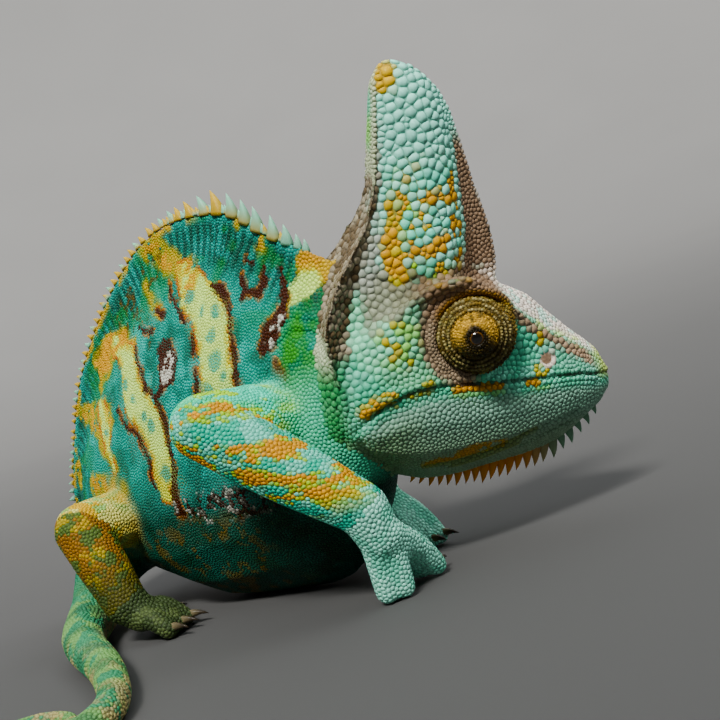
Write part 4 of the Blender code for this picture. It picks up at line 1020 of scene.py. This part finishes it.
# A scale that a neighbour crowds out is dropped, and none grows under the eye or in a nostril.
near = neighbours(sites, 12)
gap = np.linalg.norm(sites[:, None] - sites[near], axis=2)
facing = (site_normals[:, None] * site_normals[near]).sum(2) > 0.0
close = gap < CROWDING * (sizes[:, None] + sizes[near])
crowded = (close & facing & (near < np.arange(len(sites))[:, None])).any(1)
x, y, z = in_half_head(sites).T
head_site = np.isin(site_parts, HEAD_PARTS)
in_eye = (np.hypot(x - EYE_AT[0], z - EYE_AT[2]) < 6.8) & (y > 7) & (y < 22)
in_nostril = np.linalg.norm(in_half_head(sites) - NOSTRIL_AT, axis=1) < 1.9
keep = ~(crowded & ~is_fixed) & ~((in_eye | in_nostril) & head_site)
sites, site_normals, site_parts = sites[keep], site_normals[keep], site_parts[keep]
sizes, heights = sizes[keep], heights[keep]
near = neighbours(sites, 12)
site_normals = normed(site_normals + 0.5 * site_normals[near[:, :6]].mean(1))

skin_faces = [p.vertices[:] for p in skin.data.polygons]
skin_tree = BVHTree.FromPolygons(skin_points.tolist(), skin_faces)
loop_uvs = np.empty(len(skin.data.loops) * 2)
skin.data.uv_layers["OFBake"].data.foreach_get("uv", loop_uvs)
loop_uvs = loop_uvs.reshape(-1, 2)
first_loop = np.array([p.loop_start for p in skin.data.polygons])
under = first_loop[[skin_tree.find_nearest(p)[2] for p in sites.tolist()]]
site_uvs = (loop_uvs[under] + loop_uvs[under + 1] + loop_uvs[under + 2]) / 3
small = (sizes < 1.3) & np.isin(site_parts, HEAD_PARTS)
site_colours = body_colour(sites, site_parts, np.where(small, 1.0, 0.0))

# Where a leg or the tail meets the trunk, the colours run into each other over a few scales.
LIMBS = (("upper_arm", "forearm", "hand"), ("thigh", "shin", "foot"), ("tail",))
limb_of = np.zeros(len(FLESH), int)
for k, names in enumerate(LIMBS):
    limb_of[[part.startswith(names) for part in FLESH]] = 1 + k
meeting = (limb_of[site_parts][near] != limb_of[site_parts][:, None]).any(1).astype(float)
for turn in range(4):
    site_colours = mix(site_colours, site_colours[near].mean(1), 0.6 * meeting)
    meeting = np.maximum(meeting, 0.75 * meeting[near].max(1))
site_colours *= rng.uniform(0.84, 1.14, (len(sites), 1))


def side_axes(up):
    """Two directions across each normal, at right angles to each other."""
    lean = np.where(np.abs(up[:, 2:3]) > 0.9, [[1.0, 0, 0]], [[0, 0, 1.0]])
    first = normed(np.cross(lean, up))
    return first[:, None], np.cross(up, first)[:, None]


def ring_angles(sides):
    return np.arange(sides) * 2 * math.pi / sides


def joined_domes(name, top, middle, outer, highlight_and_shade, colours, patches, uvs):
    """Joins domes into one piece, each with a top and with rings of points at its shoulder and foot.

    The tones scale each dome's colour at those three: a painted highlight on its top, painted shade at its
    foot. Patches are the radii of the two rings on the map, round the dome's own place there.
    """
    count, sides = middle.shape[:2]
    points = np.concatenate([top[:, None], middle, outer], 1)
    base = (np.arange(count) * (2 * sides + 1))[:, None]
    k = np.arange(sides)[None]
    after = (k + 1) % sides
    caps = np.stack([base + 0 * k, base + 1 + k, base + 1 + after], 2)
    bands = np.stack([base + 1 + k, base + 1 + sides + k, base + 1 + sides + after, base + 1 + after], 2)
    corner_of = np.concatenate([caps.reshape(count, -1), bands.reshape(count, -1)], 1).ravel()
    starts = np.concatenate([[0], np.cumsum(np.tile(np.repeat([3, 4], sides), count))[:-1]])
    mesh = bpy.data.meshes.new(name)
    mesh.vertices.add(points.size // 3)
    mesh.vertices.foreach_set("co", (points * MM).ravel())
    mesh.loops.add(len(corner_of))
    mesh.loops.foreach_set("vertex_index", corner_of.astype(np.int32))
    mesh.polygons.add(len(starts))
    mesh.polygons.foreach_set("loop_start", starts.astype(np.int32))
    mesh.polygons.foreach_set("use_smooth", np.ones(len(starts), bool))
    mesh.update(calc_edges=True)
    thing = add_object(name, mesh)
    painted_light_and_shade = np.repeat(highlight_and_shade, (1, sides, sides))
    colour_points(thing, (colours[:, None] * painted_light_and_shade[:, None]).reshape(-1, 3))
    angles = ring_angles(sides)
    circle = np.stack([np.cos(angles), np.sin(angles)], 1)
    patch = np.concatenate([np.zeros((1, 2)), patches[0] * circle, patches[1] * circle])
    spread_uvs = (uvs[:, None] + patch).reshape(-1, 2)
    mesh.uv_layers.new(name="OFBake").data.foreach_set("uv", spread_uvs[corner_of].ravel())
    return thing


def scale_mesh(name, which, sides):
    """Joins the chosen scales into one piece, each a dome whose edge follows its neighbours."""
    place, up, size, height = sites[which], site_normals[which], sizes[which], heights[which]
    others = near[which]
    first, second = side_axes(up)
    away = sites[others] - place[:, None]
    flat = np.stack([(away * first).sum(2), (away * second).sum(2)], 2)
    gap = np.linalg.norm(flat, axis=2) + 1e-6
    share = size[:, None] / (size[:, None] + sizes[others])
    half_way = (share * np.linalg.norm(away, axis=2))[:, None]
    usable = (site_normals[others] * up[:, None]).sum(2) > -0.2
    angle = ring_angles(sides) + rng.uniform(0, 2 * math.pi / sides, len(place))[:, None]
    rays = np.stack([np.cos(angle), np.sin(angle)], 2)
    cosine = np.einsum("nsk,njk->nsj", rays, flat / gap[:, :, None])
    limit = np.where((cosine > 0.08) & usable[:, None], half_way / np.maximum(cosine, 0.08), 1e9)
    radius = np.minimum(limit.min(2), WIDEST * size[:, None])
    spread = (rays[:, :, :1] * first + rays[:, :, 1:] * second) * radius[:, :, None]

    # Large plates are flatter, with their shoulder farther out.
    flatness = soft(size, 1.3, 2.0)[:, None, None]
    outer, outer_up, _ = onto_form((place[:, None] + spread * EDGE).reshape(-1, 3))
    middle, middle_up, _ = onto_form((place[:, None] + spread * (0.79 + 0.05 * flatness)).reshape(-1, 3))
    outer = (outer - outer_up * SUNK).reshape(spread.shape)
    rise = (0.84 + 0.04 * flatness) * height[:, None, None]
    middle = middle.reshape(spread.shape) + middle_up.reshape(spread.shape) * rise
    top = place + up * height[:, None]
    # A painted highlight on each scale's top, and painted shade at its foot in the grooves between scales.
    highlight_and_shade, patches = (1.06, 1.0, 0.56), (0.0010, 0.0014)
    return joined_domes(name, top, middle, outer, highlight_and_shade, site_colours[which], patches, site_uvs[which])


def living_skin(name, roughness, grain):
    """Living skin: the marked colour, a little uneven gloss and a fine grain."""
    finish = Finish(name, roughness=roughness, Specular_IOR_Level=0.14)
    speckle = finish.object_noise(grain, 4.0)
    soil = finish.node("ShaderNodeValToRGB", {"Fac": speckle})
    soil.node.color_ramp.elements[0].color = (0.7, 0.7, 0.7, 1)
    mixed = {0: 0.5, 6: finish.tint(), 7: soil}
    soiled = finish.node("ShaderNodeMix", mixed, output=2, data_type="RGBA", blend_type="MULTIPLY")
    uneven = {0: speckle, 1: 0.25, 2: roughness - 0.12}
    finish.feed("Base Color", soiled)
    finish.feed("Roughness", finish.node("ShaderNodeMath", uneven, operation="MULTIPLY_ADD"))
    finish.bump(speckle, 0.00006)
    return finish.material


coat_material = living_skin("scales", 0.38, 1500.0)
COATS = {
    "scales_head": (("head", "lower_jaw"), 9, "head_skin"),
    "scales_casque": (("casque",), 10, "head_skin"),
    "scales_torso": (("torso",), 6, "torso_skin"),
    "scales_neck": (("neck",), 6, "torso_skin"),
    "scales_front_legs": (("upper_arm", "forearm", "hand"), 7, "limb_skin"),
    "scales_hind_legs": (("thigh", "shin", "foot"), 7, "limb_skin"),
    "scales_tail": (("tail",), 6, "tail_skin"),
}
for name, (parts, sides, slot) in COATS.items():
    members = [k for k, part in enumerate(FLESH) if part.startswith(parts)]
    chosen = np.flatnonzero(np.isin(site_parts, members))
    shares = math.ceil(len(chosen) * sides * 3 / PIECE_TRIANGLES)
    for share in range(shares):
        piece_name = name if shares == 1 else f"{name}_{share + 1}"
        finish_piece(scale_mesh(piece_name, chosen[share::shares], sides), coat_material)

# Eyes
# Each eye is a cone of fused lids, ringed with folds and covered in fine granules, with the small
# wet eyeball showing in the opening at its tip. The cone's outline is a line of (height, radius).
LID_PROFILE = np.array([
    (7.8, 0.0), (7.9, 1.15), (8.3, 1.2), (8.6, 1.4), (8.65, 1.75), (8.5, 2.2), (8.1, 2.8), (7.6, 3.3),
    (7.0, 3.75), (6.3, 4.15), (5.7, 4.4), (5.2, 4.5), (4.95, 4.56), (5.15, 4.85), (5.2, 5.1), (5.0, 5.35),
    (4.7, 5.5), (4.3, 5.54), (4.5, 5.8), (4.5, 6.05), (4.2, 6.25), (3.7, 6.35), (3.4, 6.38), (3.55, 6.65),
    (3.4, 6.95), (2.9, 7.15), (2.2, 7.25), (1.5, 7.35), (1.0, 7.6), (0.6, 8.0), (0.2, 8.5),
])
EYE_LOOKS = (-0.17, 0.976, 0.13)
BALL_RADIUS = 2.0
BALL_OUT = 7.0
RING_STEP = 0.88
GRANULE_RISE = 0.62
LID_GOLD = rgb(214, 166, 40)
LID_OLIVE = rgb(124, 98, 22)
LID_DARK = rgb(60, 50, 18)
LID_CREAM = rgb(206, 196, 132)


def eye_frame(side):
    """The placing that makes a cone along z look out of that side of the head."""
    looks = Vector((EYE_LOOKS[0], side * EYE_LOOKS[1], EYE_LOOKS[2]))
    where = Matrix.Translation((EYE_AT[0], side * EYE_AT[1], EYE_AT[2]))
    return np.array(where @ looks.to_track_quat("Z", "Y").to_matrix().to_4x4())


def lid_colour(points, radius, high):
    """Golden on the cone's upper part, darker below and round the opening, with pale rims to its folds,
    partly painted highlight that is stronger on the upper side, and painted shade in the grooves.
    """
    lump = rough(points, 1.5, 52) - 0.5
    gold = soft(radius, 5.0, 4.4) * soft(high + 2.6 * lump, -2.4, 0.8)
    # The folds' pale rims, paler on the upper side as partly painted highlight, and painted shade in their
    # grooves.
    rims = np.max([soft(np.abs(radius - r), 0.3, 0.1) for r in (5.1, 6.02, 6.9)], axis=0)
    painted_groove_shade = np.max([soft(np.abs(radius - r), 0.26, 0.08) for r in (4.58, 5.56, 6.4)], axis=0)
    return paint(LID_OLIVE, (
        (LID_DARK, soft(high / 7.0 + 0.9 * lump, 0.2, -0.8) * 0.8),
        (rgb(160, 150, 70), patchy(points, 1.0, 55, 0.5, 0.66) * soft(radius, 4.6, 5.4) * 0.6),
        (LID_GOLD, gold * patchy(points, 0.9, 50, 0.25, 0.5)),
        (LID_CREAM, rims * patchy(points, 1.1, 51, 0.35, 0.6) * (0.25 + 0.35 * soft(high, -3, 3))),
        (LID_DARK, painted_groove_shade * 0.6),
        (LID_DARK * 0.8, soft(radius + 0.4 * high + 1.2 * lump, 3.2, 2.2) * 0.7),
        (LID_DARK * 0.35, soft(radius + 0.8 * lump, 2.5, 1.9)),
    ))


def swollen(places):
    """Raises places of the cone unevenly, as the flesh under the lids does."""
    radius = np.hypot(places[:, 0], places[:, 1])
    places[:, 2] += 0.16 * (noise(places, 2.2, 53) - 0.5) * soft(radius, 1.5, 3.0)
    return places, radius


def dome_cluster(name, place, up, reach, height, colours, uvs, sides=6):
    """Joined round granules of given places, normals, radii and heights."""
    first, second = side_axes(up)
    angles = ring_angles(sides)[None, :, None]
    spread = np.cos(angles) * first + np.sin(angles) * second
    spread *= reach[:, None, None]
    rise = up[:, None] * height[:, None, None]
    outer = place[:, None] + spread - up[:, None] * 0.08
    middle = place[:, None] + spread * 0.68 + rise * 0.75
    top = place + rise[:, 0]
    # The granules' feet are painted darker, as painted shade between them.
    return joined_domes(name, top, middle, outer, (1.0, 1.0, 0.4), colours, (0.0014, 0.0014), uvs)


lid_material = living_skin("eyelid_skin", 0.42, 2600.0)
eyeball_finish = Finish("wet_eyeball", roughness=0.06, Coat_Weight=1.0)
eyeball_finish.feed("Base Color", eyeball_finish.tint())

for name, side in (("right", -1), ("left", 1)):
    to_head = eye_frame(side)
    turn, shift = to_head[:3, :3], to_head[:3, 3]
    lid = turned("eyelid_" + name, [(r, h) for h, r in LID_PROFILE], 0.01, inside=False)
    unwrap(lid, 0.01)
    cone, radius = swollen(mesh_points(lid.data) * MM)
    in_skull = cone @ turn.T + shift
    high = in_skull[:, 2] - turn[2, 2] * cone[:, 2] - EYE_AT[2]
    set_points(lid.data, from_head(in_skull))
    # The lid under the granules is painted darker, as painted shade between them.
    colour_points(lid, lid_colour(cone, radius, high) * 0.6)
    finish_piece(lid, lid_material, ["eye_turret_" + name])

    # Rings of granules follow the lids' folds from the opening outwards.
    profile = LID_PROFILE[3:]
    lengths = lengths_along(profile)
    places, ups, reaches, spots = [], [], [], []
    s = 0.1
    ring = 0
    while s < lengths[-1]:
        (before_h, h, after_h), (before_r, r, after_r) = [
            np.interp([s - 0.2, s, s + 0.2], lengths, column) for column in profile.T
        ]
        width = 0.52 + 0.022 * r
        count = int(2 * math.pi * r / width)
        for j in range(count):
            angle = 2 * math.pi * (j + 0.5 * (ring % 2)) / count + rng.uniform(-0.16, 0.16) / r
            radial = np.array([math.cos(angle), math.sin(angle), 0])
            places.append(radial * (r + rng.uniform(-0.12, 0.12)) + np.array([0, 0, h]))
            ups.append(radial * (before_h - after_h) + np.array([0, 0, after_r - before_r]))
            reaches.append(width * rng.uniform(0.44, 0.60))
            spots.append(0.5 + 0.05 * r * radial[:2])
        s += width * RING_STEP
        ring += 1
    places, radius = swollen(np.array(places))
    reaches = np.array(reaches)
    in_skull = places @ turn.T + shift
    high = in_skull[:, 2] - turn[2, 2] * places[:, 2] - EYE_AT[2]
    tints = lid_colour(places, radius, high) * rng.uniform(0.5, 1.35, (len(places), 1))
    granules = dome_cluster(
        "eyelid_granules_" + name,
        from_head(in_skull),
        normed(np.array(ups)) @ turn.T @ HEAD_TURN.T,
        reaches,
        reaches * GRANULE_RISE,
        tints,
        np.array(spots),
    )
    finish_piece(granules, lid_material)

    bpy.ops.mesh.primitive_uv_sphere_add(segments=40, ring_count=24, radius=BALL_RADIUS * MM)
    ball = bpy.context.object
    ball.name = ball.data.name = "eyeball_" + name
    bpy.ops.object.shade_smooth()
    ball.select_set(False)
    cone = mesh_points(ball.data) + [0, 0, BALL_OUT]
    radius = np.hypot(cone[:, 0], cone[:, 1])
    iris = soft(radius, 0.98, 1.08) * soft(radius, 1.5, 1.35) * 0.8
    set_points(ball.data, from_head(cone @ turn.T + shift))
    colour_points(ball, mix(rgb(6, 5, 4), rgb(120, 78, 18), iris))
    finish_piece(ball, eyeball_finish.material, ["eye_" + name])

# Spines and beard
# A crest of soft, pointed scales runs down the back with small beads between them, and a comb of
# longer ones hangs under the jaw. Each is a curved cone with its root in the skin.
def spikes(name, items):
    """Joins curved cones, each given by its root, direction, lean, length, two radii and two colours."""
    sides, rings = 10, 6
    points, faces, tints = [], [], []
    for root, out, lean, length, wide, thick, low, high in items:
        across = np.cross(out, lean)
        across /= np.linalg.norm(across)
        front = np.cross(across, out)
        base = len(points)
        for r in range(rings):
            t = r / rings
            centre = root + out * length * (t * 1.08 - 0.14) + lean * length * 0.36 * t**2
            taper = (1 - t) ** 0.72 if t > 0 else 1.0
            for k in range(sides):
                a = 2 * math.pi * k / sides
                reach = taper * (1 + 0.07 * math.cos(5 * a))
                edge = front * wide * math.cos(a) + across * thick * math.sin(a)
                points.append(centre + reach * edge)
                tints.append(low + (high - low) * min(1, t * 1.5))
        points.append(root + out * length * 0.98 + lean * length * 0.40)
        tints.append(high)
        for r in range(rings - 1):
            for k in range(sides):
                a, b = base + r * sides + k, base + r * sides + (k + 1) % sides
                faces.append((a, b, b + sides, a + sides))
        last = base + (rings - 1) * sides
        faces += [(last + k, last + (k + 1) % sides, last + sides) for k in range(sides)]
        faces.append(tuple(base + k for k in reversed(range(sides))))
    mesh = bpy.data.meshes.new(name)
    mesh.from_pydata((np.array(points) * MM).tolist(), [], faces)
    mesh.polygons.foreach_set("use_smooth", np.ones(len(faces), bool))
    thing = add_object(name, mesh)
    start_editing(thing)
    bpy.ops.mesh.normals_make_consistent(inside=False)
    stop_editing(thing)
    unwrap(thing, 0.002)
    colour_points(thing, np.array(tints))
    return thing


spine_material = living_skin("spine_scales", 0.4, 1200.0)
SPINE_AQUA = rgb(140, 212, 178)
SPINE_YELLOW = rgb(214, 176, 40)
# How large the crest's spines are along it, and the beard's along the jaw: (place, size).
CREST_SIZE = np.array([
    (4.6, 0.42), (8.1, 0.5), (11.6, 1.0), (38.0, 1.0), (43.0, 0.78), (48.5, 0.62), (54.0, 0.45), (65.0, 0.40),
    (170.0, 0.2),
])
BEARD_SIZE = np.array([(-12, 0.5), (-5, 0.75), (2, 1.0), (16, 1.0), (22, 0.72), (28, 0.5)])
crest = []
s = CREST_SIZE[0, 0]
while s < crest_along[-1] - 2:
    size = read(CREST_SIZE, s)
    gap = 1.2 + 3.7 * size
    for at, share in ((s, rng.uniform(0.9, 1.1)), (s + 0.36 * gap, 0.36), (s + 0.66 * gap, 0.32)):
        if share < 0.5 and size < 0.5:
            continue
        k = min(int(np.searchsorted(crest_along, at)), len(crest_line) - 1)
        grown = size * share if share > 0.5 else 0.30
        side = np.cross(crest_out[k], crest_ahead[k])
        lean = crest_ahead[k] + side * rng.uniform(-0.15, 0.15)
        golden = 0.25 + 0.4 * soft(s, 44, 50)
        high = SPINE_YELLOW if rng.uniform() < golden else SPINE_AQUA
        low = (SPINE_YELLOW if rng.uniform() < golden + 0.1 else SPINE_AQUA) * 0.6
        root = crest_line[k] - crest_out[k] * 0.5
        length, wide, thick = 0.5 + 4.0 * grown, 0.35 + 1.75 * grown, 0.35 + 1.1 * grown
        crest.append((root, crest_out[k], lean, length, wide, thick, low, high))
    s += gap
beard = []
for x in np.arange(-13.0, 28.5, 1.9):
    size = read(BEARD_SIZE, x) * rng.uniform(0.9, 1.1)
    slope = (read(THROAT_LINE, x + 1) - read(THROAT_LINE, x - 1)) / 2
    out = np.array([slope, 0, -1.0]) / math.hypot(slope, 1)
    lean = np.array([-0.25, rng.uniform(-0.1, 0.1), 0]) + np.array([-1, 0, -slope]) * 0.5
    high = mix(rgb(222, 138, 16), rgb(112, 164, 130), soft(np.array([x]), 9, 20))[0]
    root = from_head((x, 0, read(THROAT_LINE, x) + 0.8))
    length, wide, thick = 4.3 * size, 1.25 * size + 0.15, 0.8 * size + 0.1
    beard.append((root, HEAD_TURN @ out, HEAD_TURN @ lean, length, wide, thick, high * 0.7, high))
finish_piece(spikes("crest_spines", crest), spine_material)
finish_piece(spikes("beard_spines", beard), spine_material)

# Claws
# Short curved horn at the end of each toe, set in the last scales.
# Of each foot: its palm, the tips of its outer and inner bundle of toes, and the toes in each.
FEET = {
    "front_right": ((23.0, -34.6, 14.0), (22.8, -33.0, 2.4), (28.5, -22.0, 2.4), 2, 3),
    "front_left": ((25.0, 8.0, 13.0), (31.0, 17.5, 2.4), (32.0, 0.5, 2.4), 2, 3),
    "hind_right": ((-34.5, 3.2, 6.2), (-27.0, 0.0, 2.4), (-31.0, 14.0, 2.4), 3, 2),
    "hind_left": ((5.0, 41.0, 6.4), (14.5, 47.0, 2.4), (13.0, 32.5, 2.4), 3, 2),
}
TOE_SPREAD = 3.7
DOWN = np.array([0, 0, -1.0])
HORN_ROOT = rgb(132, 120, 86)
HORN_TIP = rgb(52, 44, 32)
claws = []
for palm, outer, inner, outer_toes, inner_toes in FEET.values():
    for tip, toes in ((outer, outer_toes), (inner, inner_toes)):
        palm_at, tip_at = np.array(palm) + ORIGIN, np.array(tip) + ORIGIN
        ahead = (tip_at - palm_at) / np.linalg.norm(tip_at - palm_at)
        flat = np.array([ahead[0], ahead[1], 0])
        across = np.array([1.0, 0.15, 0]) if np.linalg.norm(flat) < 0.4 else np.array([flat[1], -flat[0], 0])
        across = across / np.linalg.norm(across)
        for k in range(toes):
            aside = (k - (toes - 1) / 2) * TOE_SPREAD
            middle = palm_at + (tip_at - palm_at) * 0.6 + across * aside * 0.9 + [0, 0, 1.2]
            end = tip_at + across * aside
            out = end - middle
            out = np.array([out[0], out[1], 0.15 * np.linalg.norm(out)])
            out /= np.linalg.norm(out)
            root = end + out * 1.9
            claws.append((root, out, DOWN, 4.4, 1.05, 0.9, HORN_ROOT, HORN_TIP))
finish_piece(spikes("claws", claws), living_skin("horn", 0.25, 900.0))
